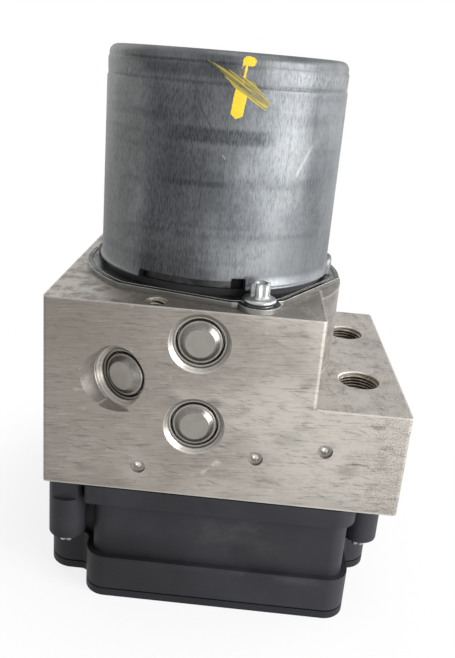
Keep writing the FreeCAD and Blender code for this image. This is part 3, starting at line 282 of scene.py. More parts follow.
def outward(piece):  # doubles merged, normals made to look outwards
    work = bmesh.new()
    work.from_mesh(piece.data)
    bmesh.ops.remove_doubles(work, verts=work.verts, dist=1e-7)
    bmesh.ops.dissolve_degenerate(work, dist=1e-8, edges=work.edges)
    bmesh.ops.recalc_face_normals(work, faces=work.faces)
    work.to_mesh(piece.data)
    work.free()
    piece.data.update()


def joined(name, parts, slotName, finish=None, instead=None):
    # several (points, faces) pairs in one piece, which may take the place of a solid
    points, faces, start = [], [], 0
    for partPoints, partFaces in parts:
        points.append(partPoints.reshape(-1, 3))
        faces += [[i + start for i in face] for face in partFaces]
        start += len(points[-1])
    mesh = bpy.data.meshes.new(name)
    mesh.from_pydata((np.concatenate(points) * mm).tolist(), [], faces)
    mesh.polygons.foreach_set("use_smooth", np.full(len(mesh.polygons), True))
    mesh.update()
    piece = bpy.data.objects.new(name, mesh)
    scene.collection.objects.link(piece)
    mesh.materials.append((finish or slotFinish[slotName]).material)
    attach(piece, "unit")
    outward(piece)
    if instead:
        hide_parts(instead)


def mergedCopy(node, name, slotName, finish=None):  # the solid's own mesh, merged and its flat faces dissolved
    piece = nodes[node].copy()
    piece.data = nodes[node].data.copy()
    for key in list(piece.keys()):
        del piece[key]
    piece.name = piece.data.name = name
    piece.parent = None
    scene.collection.objects.link(piece)
    work = bmesh.new()
    work.from_mesh(piece.data)
    bmesh.ops.remove_doubles(work, verts=work.verts, dist=2e-7)
    bmesh.ops.dissolve_limit(work, angle_limit=math.radians(0.6), verts=work.verts, edges=work.edges)
    bmesh.ops.recalc_face_normals(work, faces=work.faces)
    work.to_mesh(piece.data)
    work.free()
    piece.data.polygons.foreach_set("use_smooth", np.full(len(piece.data.polygons), True))
    if "custom_normal" in piece.data.attributes:
        piece.data.attributes.remove(piece.data.attributes["custom_normal"])
    piece.data.materials.clear()
    piece.data.materials.append((finish or slotFinish[slotName]).material)
    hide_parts(node)
    return piece


def softCopy(node, name, width, segments, slotName, finish=None):  # a solid with its sharp edges rounded
    piece = mergedCopy(node, name, slotName, finish)
    bevel = piece.modifiers.new("edges", "BEVEL")
    bevel.width = width * mm
    bevel.segments = segments
    bevel.limit_method = "ANGLE"
    bevel.angle_limit = math.radians(35)
    bevel.harden_normals = False
    bevel.use_clamp_overlap = True
    weights = piece.modifiers.new("shading", "WEIGHTED_NORMAL")
    weights.mode = "FACE_AREA"
    weights.keep_sharp = True
    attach(piece, "unit")


# Finishes
def slantedPlace(f):  # across and along the slanted pump elements, which lean to the left in front and behind
    lean = math.radians(pump["slant"])
    across = f.x * math.cos(lean) + abs(f.y) * math.sin(lean)
    along = abs(f.y) * math.cos(lean) - f.x * math.sin(lean)
    return across, along


def plugDistances(f):  # distance from the nearest straight pump element's axis, and from the slanted one's
    straight = f.ring(f.x, f.z, 0.0, pump["upper"]).least(f.ring(f.x, f.z, 0.0, pump["lower"]))
    return straight, f.ring(slantedPlace(f)[0], f.z, 0.0, pump["middle"])


def edgeDistance(f):
    # distance from the block's long edges: the second smallest distance to its flat faces;
    # the ledge and the wall above it end at each other, and past that end they count as far away
    far = 9
    depth = abs(abs(f.y) - block["halfDepth"])
    left = abs(f.x - block["left"])
    right = abs(f.x - block["right"])
    wall = abs(f.x - block["wall"]) + f.step(f.z, block["ledge"] + 0.4, block["ledge"] - 1.0) * far
    bottom = abs(f.z - block["bottom"])
    top = abs(f.z - block["top"])
    ledge = abs(f.z - block["ledge"]) + f.step(f.x, block["wall"] + 0.4, block["wall"] - 0.8) * far
    across = left.least(right).least(wall)
    upright = bottom.least(top).least(ledge)
    return across.most(depth).least(across.most(upright)).least(depth.most(upright))


def blockFinish():
    look = {"base": (0.270, 0.246, 0.220), "stroke": (0.060, 0.053, 0.046), "pale": (0.47, 0.440, 0.400),
            "stain": (0.165, 0.148, 0.128), "bright": (0.66, 0.64, 0.60), "top": (0.17, 0.158, 0.142),
            "countersink": 9.0, "spotFace": 10.6, "portLip": 6.7, "seat": 42.0,
            "scuff": ((3.4, 48.2), (7.6, 52.4)),  # its ends, x and z
            "spots": [(5.5, 71.5, 3.2, 0.40), (-7.0, 70.5, 4.2, 0.26), (46.0, 53.5, 5.0, 0.26),
                      (-33.0, 46.0, 3.0, 0.24), (28.0, 62.0, 6.0, 0.20)]}  # x, z, size, strength
    f = Finish("milledBlock", metallic=0.82, roughness=0.42)
    top = f.upward()
    depth = abs(f.y)
    front = f.step(f.y, 1.0 - block["halfDepth"], 0.4 - block["halfDepth"])
    # cutter marks are fine lines along X, a little tilted on the upright faces, with a few that cross them
    tilted = f.tilt(5.0)
    coarse = f.noise(f.stretch(0.09, 0.09, 1.25, 0, tilted), 1.0, 4, 0.66, 0.12)
    fine = f.noise(f.stretch(0.13, 0.13, 2.3, 3, tilted), 1.0, 4, 0.64, 0.1)
    slants = f.noise(f.stretch(0.20, 0.20, 1.7, 8, f.tilt(-14.0)), 1.0, 3, 0.62, 0.1)
    topLines = f.noise(f.stretch(0.14, 2.4, 0.14, 9), 1.0, 4, 0.6, 0.15)
    lines = f.level(top, coarse, topLines)
    grain = f.noise(None, 2.4, 4, 0.65)
    cloud = f.noise(f.stretch(0.045, 0.045, 0.060, 5), 1.0, 3, 0.5)
    patch = f.noise(f.stretch(0.20, 0.20, 0.34, 11), 1.0, 4, 0.62)
    specks = f.step(f.cells(None, 0.75), 0.17, 0.08)
    dots = f.step(f.cells(f.stretch(1, 1, 1, 31), 0.16), 0.16, 0.05)
    wearAndLight = f.step(f.x - f.z * 0.5 + 30 + (cloud - 0.5) * 30, -45, 45)  # more so to the lower right; its paler side is partly painted light
    strokes = f.step(lines, 0.54, 0.70) * f.step(patch, 0.36, 0.60)
    hairs = f.step(fine, 0.54, 0.70)
    # upward faces darker, most on the top and least at its far left: painted shade
    topShadeShare = f.level(f.step(f.z, 80.0, 90.0), 0.10, 0.62 - 0.60 * f.step(f.x, -24, -36))
    colour = f.layered(look["base"], [
        # paler in clouds and to the lower right: partly wear, partly painted light
        (f.step(cloud * 0.6 + wearAndLight * 0.5, 0.36, 0.86), look["pale"]),
        (f.step(patch, 0.48, 0.72) * 0.30, look["stain"]),
        (top * topShadeShare, look["top"]),
        (strokes * (0.34 + 0.30 * wearAndLight), look["stroke"]),
        (hairs * 0.42, look["stroke"]),
        (f.step(slants, 0.58, 0.70) * 0.34, look["stroke"]),
        (f.step(fine, 0.45, 0.30) * 0.42, look["pale"]),
        (f.step(grain, 0.58, 0.72) * 0.30, look["stroke"]),
        (specks * f.step(patch, 0.44, 0.56) * 0.40, look["stroke"]),
        (dots * 0.12, look["bright"])])
    # painted shade towards the upper left corner of the front; duller where the motor's seat cuts the wall above
    # the ledge;
    # darker low down; grime to the right and in spots; a pale scuff; and the far left of the top paler, with less
    # painted shade there
    shadeUpperLeft = f.step(f.x, -8, -34) * f.step(f.z, 70, 92) * front
    seat = f.step(f.ring(f.x, f.y, 0.0, 0.0), look["seat"], look["seat"] + 0.2)
    seat = seat * f.band(f.z, block["ledge"] + 0.4, block["top"] - 0.35, 0.2)
    seat = seat * f.step(f.x, block["wall"] + 0.05, block["wall"] + 0.15)
    low = f.step(f.z + (patch - 0.5) * 14, 46, 40)
    right = f.step(f.x + (patch - 0.5) * 30, 42, 60) * f.step(grain, 0.48, 0.60)
    grimy = []
    for x, z, size, strength in look["spots"]:
        spot = f.step(f.ring(f.x, f.z * 1.6, x, z * 1.6) + (grain - 0.5) * 7, size, size * 0.3)
        grimy.append((spot * front * strength, look["stroke"]))
    scuff = f.toLine(f.x, f.z, *look["scuff"]) + (patch - 0.5) * 5.0 + (grain - 0.5) * 2.6
    # the far left of the top paler
    paleTopLeft = top * f.step(f.z, 90.0, 95.0) * f.step(patch, 0.62, 0.44)
    paleTopLeft = paleTopLeft * f.step(f.x + (cloud - 0.5) * 30, -18, -34)
    colour = f.layered(colour, [
        # painted shade on the upper left, in the stain colour
        (shadeUpperLeft * 0.45, look["stain"]),
        (seat * f.level(f.step(patch, 0.40, 0.60), 0.42, 0.56), look["stroke"]),
        (low * 0.22, look["stain"]),
        (right * 0.50, look["stroke"]),
        *grimy,
        (f.step(scuff, 1.1, -0.2) * front * 0.42, look["bright"]),
        (paleTopLeft * 0.75, look["pale"])])
    # freshly cut faces: countersinks, spot faces and port lips; the countersinks carry painted shade on their
    # upper right and have two dark rings, the spot face carries painted shade on its right and a painted shadow by
    # the slanted plug, and edges are paler, partly from wear and partly a painted highlight
    straight, slanted = plugDistances(f)
    sideways, outwards = slantedPlace(f)
    sink = f.step(straight, look["countersink"] + 0.15, look["countersink"]) * f.step(depth, 36.0, 37.0)
    spot = f.step(f.ring(sideways, f.z, 0.6, pump["middle"]), look["spotFace"] + 0.15, look["spotFace"])
    spot = spot * f.step(outwards, 40.0, 41.0) * f.step(depth, 44.96, 44.90)
    lips = f.ring(f.x, depth, ledgePort["x"], ledgePort["y"])
    lips = f.step(lips, look["portLip"] + 0.3, look["portLip"]) * top
    machined = sink.most(spot).most(lips)
    half = f.level(f.step(f.z, pump["middle"] - 0.1, pump["middle"] + 0.1), -1.0, 1.0)
    height = f.z - pump["middle"] - (pump["upper"] - pump["middle"]) * half  # above the nearest straight plug
    # painted shade on the countersinks' upper right halves
    paintedShade = f.step(f.x * 0.75 + height * 0.66, -3.5, 2.5) * f.step(straight, 9.3, 9.15)
    near = straight.least(slanted)
    ridge = f.band(near, 7.65, 7.85, 0.08).most(f.band(near, 8.35, 8.47, 0.08) * 0.7)
    # edges paler: partly wear, partly a painted highlight, stronger from the wall to the right end
    rubAndHighlight = f.step(edgeDistance(f) + (grain - 0.5) * 0.9, 0.55, 0.25)
    colour = f.layered(colour, [
        (machined * 0.36, look["bright"]),
        (sink * paintedShade * 0.55, look["base"]),
        # the spot face darker on its right: painted shade, and in random patches
        (spot * (f.step(sideways, -9.5, -4.0) * 0.55).most(f.step(patch, 0.46, 0.60) * 0.4), look["base"]),
        (sink.most(spot) * ridge * f.step(grain, 0.30, 0.44) * 0.75, look["stroke"]),
        # painted shadow in the gap round the slanted plug, on its right
        (f.band(slanted, 6.9, 7.5, 0.15) * spot * f.step(sideways, -2.0, 5.0) * 0.7, look["stroke"]),
        (f.step(grain, 0.54, 0.68) * machined * 0.45, look["stain"]),
        (rubAndHighlight * f.level(f.step(f.x, 30, 34), 0.28, 0.50), look["bright"])])
    roughness = (0.36 + 0.22 * patch + 0.08 * hairs) * (1.0 - 0.20 * machined)
    f.set({"Base Color": colour, "Roughness": roughness})
    f.bump(lines * 0.6 + fine * 0.4 + grain * 0.30 - specks * 0.3, 0.12)
    return f


def inspectionMark(f, arc, grain):
    # yellow mark, in (length round the can, height): a solid bar, a dot with two thin links below it, and a
    # dry diagonal stroke between two broken lines, with bare metal showing between the bristles' lines
    mark = {"barCentre": (5.12, 155.0), "barLean": 7.7, "barHalfWidth": 1.62, "barHalfLength": 4.23,
            "dot": ((6.5, 165.6), (7.6, 165.5)), "dotRadius": 1.08,
            "linkRight": ((6.4, 164.6), (5.8, 160.0)), "linkLeft": ((5.4, 164.6), (5.0, 161.8)),
            "upper": [(-4.1, 165.5), (-1.5, 164.1), (0.5, 163.4), (3.0, 162.7), (8.4, 160.6), (13.9, 155.2)],
            "lower": [(-4.1, 164.9), (-1.5, 163.3), (0.3, 162.0), (3.7, 158.6), (7.0, 156.7), (12.6, 153.2)],
            "slant": 32.1, "endDirection": (0.847, -0.532), "end": -71.3,
            "paint": (0.72, 0.49, 0.012), "amber": (0.66, 0.37, 0.008), "olive": (0.21, 0.180, 0.030),
            "gap": (0.055, 0.052, 0.030)}
    wobble = (f.noise(None, 1.7, 2) - 0.5) * 0.32
    bristle = f.noise(f.stretch(2.6, 2.6, 0.25, 6), 1.0, 3, 0.6)
    cosine, sine = math.cos(math.radians(mark["barLean"])), math.sin(math.radians(mark["barLean"]))
    u, v = arc - mark["barCentre"][0], f.z - mark["barCentre"][1]
    across, along = abs(u * cosine - v * sine), abs(u * sine + v * cosine)
    bar = f.step(across + wobble, mark["barHalfWidth"] + 0.12, mark["barHalfWidth"])
    bar = bar * f.step(along + across * 0.62 + wobble, mark["barHalfLength"] + 0.12, mark["barHalfLength"])
    dot = f.step(f.toLine(arc, f.z, *mark["dot"]) + wobble * 1.6, mark["dotRadius"] + 0.17, mark["dotRadius"])
    linkRight = f.step(f.toLine(arc, f.z, *mark["linkRight"]) + wobble, 0.36, 0.24)
    linkRight = linkRight * f.step(bristle, 0.30, 0.40)
    linkLeft = f.step(f.toLine(arc, f.z, *mark["linkLeft"]) + wobble, 0.30, 0.20)
    linkLeft = linkLeft * f.step(bristle, 0.46, 0.56)
    hairs = f.noise(f.stretch(0.05, 0.4, 4.2, 0, f.tilt(-mark["slant"])), 1.0, 2, 0.55)
    upper, lower = f.brokenLine(arc, mark["upper"]), f.brokenLine(arc, mark["lower"])
    fuzz = (hairs - 0.5) * 1.3
    reach = arc * mark["endDirection"][0] + f.z * mark["endDirection"][1]
    reach = reach + wobble * 1.4 + (bristle - 0.5) * 1.2
    ends = f.step(arc, -4.4, -3.4) * f.step(reach, mark["end"] + 0.4, mark["end"])
    inside = f.step(upper - f.z + fuzz, 0.0, 0.18) * f.step(f.z - lower + fuzz, 0.0, 0.18) * ends
    dry = inside * (1.0 - 0.66 * f.step(hairs, 0.46, 0.41))
    dryTone = f.blend(f.step(hairs, 0.54, 0.60) * 0.55, mark["olive"], mark["paint"])
    dryTone = f.blend(f.step(hairs, 0.48, 0.45) * 0.45, dryTone, mark["gap"])
    links = linkRight.most(linkLeft) * (1.0 - 0.8 * inside)
    solid = (bar * f.step(lower - f.z + wobble, -0.3, 0.3)).most(dot).most(links)
    solidTone = f.blend(f.step(grain, 0.40, 0.66), mark["paint"], mark["amber"])
    return dry, dryTone, solid, solidTone


def canFinish():
    look = {"zinc": (0.100, 0.107, 0.115), "pale": (0.190, 0.199, 0.207), "dark": (0.024, 0.026, 0.029),
            "warmReflection": (0.150, 0.152, 0.142), "glint": (0.56, 0.57, 0.57), "metallic": 0.88}
    smudgesAndDarkReflections = [  # level, half height, from, to, softness, strength; the tall ones on the left half are a painted dark reflection, the narrow ones handling smudges
        (131.0, 29.0, -20, -2, 6.0, 0.44), (133.0, 33.0, -80, -35, 6.0, 0.42),
        (145.9, 2.0, -14, 15, 0.8, 0.76), (132.9, 0.8, -15, 4, 0.5, 0.62), (159.4, 0.5, -40, 40, 0.4, 0.50),
        (138.5, 5.0, -15, -3, 2.5, 0.40), (120.0, 16.0, -20, -6, 6.0, 0.46), (106.5, 3.5, -22, 2, 2.5, 0.45),
        (153.5, 5.5, -22, 4, 2.5, 0.42), (151.0, 1.6, 18, 36, 0.8, 0.22), (164.6, 0.4, -30, 4, 0.3, 0.75),
        (162.4, 1.6, -24, 3, 0.8, 0.55), (118.5, 0.8, -22, 34, 0.8, 0.25), (133.5, 1.2, 8, 32, 0.9, 0.22)]
    scratches = [  # one end, other end, half width, strength, tone
        ((24.0, 136.3), (28.3, 144.3), 0.75, 0.16, "glint"), ((1.9, 141.0), (2.6, 140.1), 0.30, 0.24, "glint"),
        ((-5.1, 153.2), (-1.4, 147.6), 0.22, 0.55, "dark")]
    f = Finish("zincCan", metallic=look["metallic"], roughness=0.38)
    # length round the can from its front: r asin(x / r), near enough x + x^3 / 6r^2 up to 30 mm out
    arc = f.x + f.x ** 3.0 / (6 * shell["radius"] ** 2)
    front = f.step(f.y, 2.0, -2.0)
    dashes = f.noise(f.stretch(3.0, 3.0, 0.60), 1.0, 4, 0.66)
    streaks = f.noise(f.stretch(0.85, 0.85, 0.035, 4), 1.0, 4, 0.60)
    grain = f.noise(None, 2.6, 4, 0.65)
    cloud = f.noise(f.stretch(0.060, 0.060, 0.045, 7), 1.0, 3, 0.5)
    patch = f.noise(f.stretch(0.11, 0.11, 0.16, 12), 1.0, 4, 0.6)
    hoops = f.noise(f.stretch(0.020, 0.020, 0.22, 2), 1.0, 3, 0.55)
    soft = (cloud - 0.5) * 14
    ragged = (grain - 0.5) * 2.2
    colour = f.layered(look["zinc"], [
        (f.step(cloud, 0.34, 0.70), look["pale"]),
        # paler, warmer left side: partly tint, partly painted reflection
        (f.step(arc + soft, -20, -28) * front * 0.6, look["warmReflection"]),
        (f.step(hoops, 0.50, 0.70) * 0.25, look["dark"]),
        (f.step(patch, 0.52, 0.72) * 0.28, look["dark"]),
        (f.step(streaks, 0.50, 0.70) * 0.20, look["dark"]),
        (f.step(dashes, 0.46, 0.66) * 0.38, look["dark"]),
        (f.step(dashes, 0.46, 0.30) * 0.38, look["pale"]),
        (f.band(arc, 15, 33, 6.0) * f.step(f.z, 130, 112) * front * 0.40, look["pale"]),  # painted highlight at the lower right
        (f.step(f.z, 159.6, 160.6) * 0.24, look["dark"])])  # rim
    # handling smudges and a painted dark reflection on the left half, then painted highlights on the rim, then
    # scratches
    dashed = f.level(f.step(dashes, 0.40, 0.60), 0.65, 1.0)
    for height, half, left, right, blur, strength in smudgesAndDarkReflections:
        rows = f.band(f.z + ragged * 0.45, height - half, height + half, blur)
        columns = f.band(arc + ragged + soft * 0.4, left, right, 3.5)
        colour = f.blend(rows * columns * front * dashed * strength, colour, look["dark"])
    # painted highlights on the rim, speckled, on the right and at the far left
    rim = f.band(f.z + ragged * 0.25, 160.2, 163.4, 0.6) * f.step(dashes, 0.66, 0.40)
    rimHighlightShare = f.level(f.step(arc, 14, 24) * front, 0.0, 0.12) + f.band(arc, -34, -25, 5.0) * front * 0.10
    colour = f.blend(rim * rimHighlightShare, colour, look["glint"])
    for start, end, half, strength, tone in scratches:
        across = f.toLine(arc, f.z, start, end) + (grain - 0.5) * 0.25
        colour = f.blend(f.step(across, half, half * 0.3) * front * strength, colour, look[tone])
    dry, dryTone, solid, solidTone = inspectionMark(f, arc, grain)
    colour = f.layered(colour, [(dry * 0.92 * front, dryTone), (solid * front, solidTone)])
    paint = (solid * front).most(dry * 0.8 * front)
    f.set({"Base Color": colour, "Metallic": look["metallic"] - look["metallic"] * paint,
           "Roughness": 0.33 + 0.14 * dashes + 0.12 * cloud + 0.14 * paint})
    f.bump(dashes * 0.8 + streaks * 0.3 + grain * 0.25 + paint * 1.5, 0.055)
    return f


def plateFinish():
    look = {"zinc": (0.105, 0.108, 0.110), "dark": (0.030, 0.030, 0.030), "rubAndHighlight": (0.50, 0.50, 0.49),
            "edge": (0.27, 0.262, 0.245), "rust": (0.085, 0.055, 0.035), "paintedGapShade": (0.004, 0.004, 0.004)}
    f = Finish("plateSteel", metallic=0.9, roughness=0.34)
    grain = f.noise(None, 2.2, 4, 0.65)
    cloud = f.noise(None, 0.16, 3, 0.55)
    rusty = f.step(grain, 0.54, 0.70) * f.band(f.x, 2.0, 16.0, 4.0) * f.step(f.y, -32.0, -36.0)
    rim = (1.0 - f.upward()) * f.step(f.z, 101.05, 100.95)
    rounded = f.band(f.flatness(), 0.30, 0.86, 0.10) * f.step(f.z, 101.3, 101.1) * f.step(grain, 0.34, 0.50)
    # painted shade: the collar beside the can's window is painted near black, as if the gap looked into the dark
    # inside of the can
    gap = f.band(f.x, 6.9, 12.0, 0.2) * f.step(f.y, -30.0, -31.0) * f.step(f.z, 101.15, 101.4)
    colour = f.layered(look["zinc"], [
        (f.step(cloud, 0.40, 0.64), look["dark"]),
        # darker by the can: painted shade and dirt
        (f.step(f.z, 101.2, 101.6) * 0.35, look["dark"]),
        (rusty * 0.7, look["rust"]),
        (rim * (0.85 - 0.35 * cloud), look["edge"]),
        # rounded lip paler: partly wear, partly a painted highlight
        (rounded * 0.9, look["rubAndHighlight"]),
        (gap, look["paintedGapShade"])])
    f.set({"Base Color": colour, "Roughness": 0.26 + 0.20 * cloud})
    f.bump(grain, 0.05)
    return f


def plugFinish():
    look = {"steel": (0.315, 0.298, 0.272), "dark": (0.085, 0.078, 0.068), "disc": (0.275, 0.262, 0.240),
            "ball": (0.72, 0.70, 0.66), "balls": [(-15.9, 48.2), (18.8, 54.6), (38.9, 59.2)]}
    f = Finish("plugSteel", metallic=0.92, roughness=0.3)
    grain = f.noise(None, 2.8, 4, 0.65)
    cloud = f.noise(None, 0.30, 3, 0.55)
    straight, slanted = plugDistances(f)
    r = straight.least(slanted)
    flank = f.band(r, 4.50, 5.55, 0.10)
    grooves = f.band(r, 5.66, 5.86, 0.10).most(f.band(r, 4.22, 4.42, 0.08))
    first, second, third = (f.ring(f.x, f.z, x, z) for x, z in look["balls"])
    ball = f.step(first.least(second).least(third), 1.25, 1.05)
    colour = f.layered(look["steel"], [
        (f.step(cloud, 0.40, 0.66) * 0.35, look["dark"]),
        (f.step(grain, 0.56, 0.74) * 0.30, look["dark"]),
        (f.step(r, 4.35, 4.25) * 0.70, look["disc"]),
        # painted shade on the plug's flank, all round, patchy with grain
        (flank * f.level(f.step(grain, 0.40, 0.60), 0.35, 0.60), look["dark"]),
        # ball plugs bright: the steel's own brightness and a painted highlight
        (ball * 0.85, look["ball"]),
        (grooves * f.step(grain, 0.34, 0.50) * 0.8, look["dark"])])
    f.set({"Base Color": colour, "Roughness": 0.34 + 0.14 * cloud - 0.12 * flank - 0.14 * ball})
    f.bump(grain, 0.04)
    return f


def metalFinish(name, colour, dark, roughness, metallic, grainSize, depth, spots):
    f = Finish(name, metallic=metallic, roughness=roughness)
    grain = f.noise(None, grainSize, 4, 0.65)
    cloud = f.noise(None, 0.22, 3, 0.55)
    tone = f.layered(colour, [
        (f.step(cloud, 0.38, 0.66) * 0.6, dark),
        (f.step(grain, 0.56, 0.74) * spots, dark)])
    f.set({"Base Color": tone, "Roughness": roughness - 0.06 + 0.22 * cloud})
    f.bump(grain, depth)
    return f


def plasticFinish(name, colour, dust, smear=0.0):
    look = {"dust": (0.16, 0.155, 0.15), "smear": (0.085, 0.083, 0.080), "specular": 0.24}
    paintedLightTone, pale, paintedShade = (tuple(c * share for c in colour) for share in (1.5, 1.45, 0.12))
    f = Finish(name, roughness=0.48, fixed={"Specular IOR Level": look["specular"]})
    grain = f.noise(None, 6.0, 2, 0.5)
    specks = f.noise(None, 1.7, 4, 0.7)
    cloud = f.noise(None, 0.06, 3, 0.5)
    tone = f.layered(colour, [
        (f.step(cloud, 0.35, 0.7), pale),
        (f.step(specks, 0.64, 0.76) * dust, look["dust"])])
    if smear:  # dusty patches on the front wall and along the rim's upper edge; painted light on the right, painted shade on the upper left and the lower left
        front = f.step(f.y, -20.0, -30.0)
        wipe = f.noise(f.stretch(0.10, 0.10, 0.16, 21), 1.0, 4, 0.62)
        wall = f.band(f.x, 2.0, 30.0, 12.0) * f.band(f.z, 20.0, 32.0, 5.0)
        rim = f.band(f.x, 14.0, 44.0, 10.0) * f.band(f.z, 12.0, 14.2, 1.2)
        dusty = (wall * 0.55).most(rim) * f.step(wipe, 0.44, 0.68)
        dusty = dusty * f.level(f.step(specks, 0.40, 0.60), 0.5, 1.0)
        # painted shade on the left of the wall and along the lower left
        upper = f.band(f.x, -60.0, -6.0, 14.0) * f.band(f.z, 12.8, 22.0, 4.0) * front
        lower = f.step(f.x, 30, -20) * f.step(f.z, 13.0, 12.6) * front
        tone = f.layered(tone, [
            (dusty * smear * front, look["smear"]),
            # painted light on the right, then painted shade on the left
            (f.step(f.x, 6, 50) * 0.5, paintedLightTone),
            ((upper * 0.6).most(lower * 0.35), paintedShade)])
    f.set({"Base Color": tone, "Roughness": 0.40 + 0.16 * cloud + 0.10 * specks})
    f.bump(grain * 0.6 + specks * 0.4, 0.06, 0.45)
    return f


slotFinish = {"block_aluminium": blockFinish(), "can_steel": canFinish(), "plate_steel": plateFinish(),
              "plug_steel": plugFinish()}
metals = {  # slot: name, colour, dark colour, roughness, metallic share, size and depth of the grain, spots
    "screw_steel": ("brightZinc", (0.42, 0.43, 0.43), (0.13, 0.13, 0.13), 0.28, 0.95, 3.0, 0.03, 0.35),
    "hard_steel": ("groundSteel", (0.50, 0.50, 0.51), (0.28, 0.28, 0.29), 0.24, 0.95, 4.0, 0.02, 0.2),
    "spring_steel": ("springSteel", (0.30, 0.30, 0.32), (0.14, 0.14, 0.15), 0.35, 0.95, 4.0, 0.02, 0.3),
    "core_steel": ("coreSteel", (0.22, 0.225, 0.24), (0.09, 0.09, 0.10), 0.45, 0.9, 3.0, 0.03, 0.4),
    "piston_metal": ("pistonMetal", (0.55, 0.55, 0.55), (0.33, 0.33, 0.33), 0.32, 0.95, 3.0, 0.02, 0.2),
    "magnet": ("ferrite", (0.06, 0.06, 0.065), (0.03, 0.03, 0.03), 0.6, 0.1, 2.0, 0.06, 0.5),
    "copper": ("enamelledCopper", (0.55, 0.22, 0.10), (0.30, 0.11, 0.05), 0.32, 0.85, 2.0, 0.08, 0.4),
    "contact_metal": ("tinPlate", (0.62, 0.58, 0.48), (0.40, 0.36, 0.28), 0.28, 0.95, 3.0, 0.02, 0.2),
    "bush_bronze": ("sinteredBronze", (0.42, 0.29, 0.13), (0.22, 0.15, 0.07), 0.42, 0.9, 3.0, 0.05, 0.4)}
plastics = {  # slot: name, colour, share of dust specks
    "housing_plastic": ("blackPlastic", (0.015, 0.0152, 0.0185), 0.5, 0.55),  # and of smears
    "inner_plastic": ("innerPlastic", (0.10, 0.095, 0.085), 0.2),
    "component_plastic": ("chipPlastic", (0.02, 0.02, 0.02), 0.2),
    "carbon": ("carbon", (0.025, 0.025, 0.027), 0.3),
    "board_laminate": ("boardLaminate", (0.02, 0.10, 0.04), 0.1),
    "seal_rubber": ("sealRubber", (0.015, 0.015, 0.016), 0.3)}
slotFinish.update({slot: metalFinish(*values) for slot, values in metals.items()})
slotFinish.update({slot: plasticFinish(*values) for slot, values in plastics.items()})
threadLook = ("threadMetal", (0.24, 0.215, 0.175), (0.055, 0.048, 0.038), 0.30, 0.9, 2.2, 0.04, 0.5)
threadMetal = metalFinish(*threadLook)
coverPlastic = plasticFinish("coverPlastic", (0.0075, 0.008, 0.0105), 0.25)
for part in frame["record"]["subparts"]:
    materials = nodes[part["node"]].data.materials
    materials.clear()
    materials.append(slotFinish[part["material_slot"]].material)
print("finishes made:", len(slotFinish))

# The block, the controller and the pressed plate keep the solids' forms, with their edges broken
softEdges = {  # solid: name, width of the rounding, its segments, slot
    "hydraulic_block": ("blockBody", 0.28, 2, "block_aluminium"),
    "ecu_housing": ("controllerHousing", 0.55, 3, "housing_plastic"),
    "ecu_cover": ("controllerCover", 0.35, 2, "housing_plastic", coverPlastic),
    "end_plate": ("motorFlange", 0.50, 3, "plate_steel")}
for node, values in softEdges.items():
    softCopy(node, *values)
print("soft edged copies made")


# Each spring of a sliding joint is replaced by a merged copy of its solid
def workingSpring(joint):
    kind, which = joint["child"].split("_")
    piece = mergedCopy(kind + "_spring_" + which, kind + "Spring" + which.capitalize(), "spring_steel")
    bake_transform(piece)


for joint in frame["joints"]:
    if joint["type"] == "slide":
        workingSpring(joint)
print("springs made")


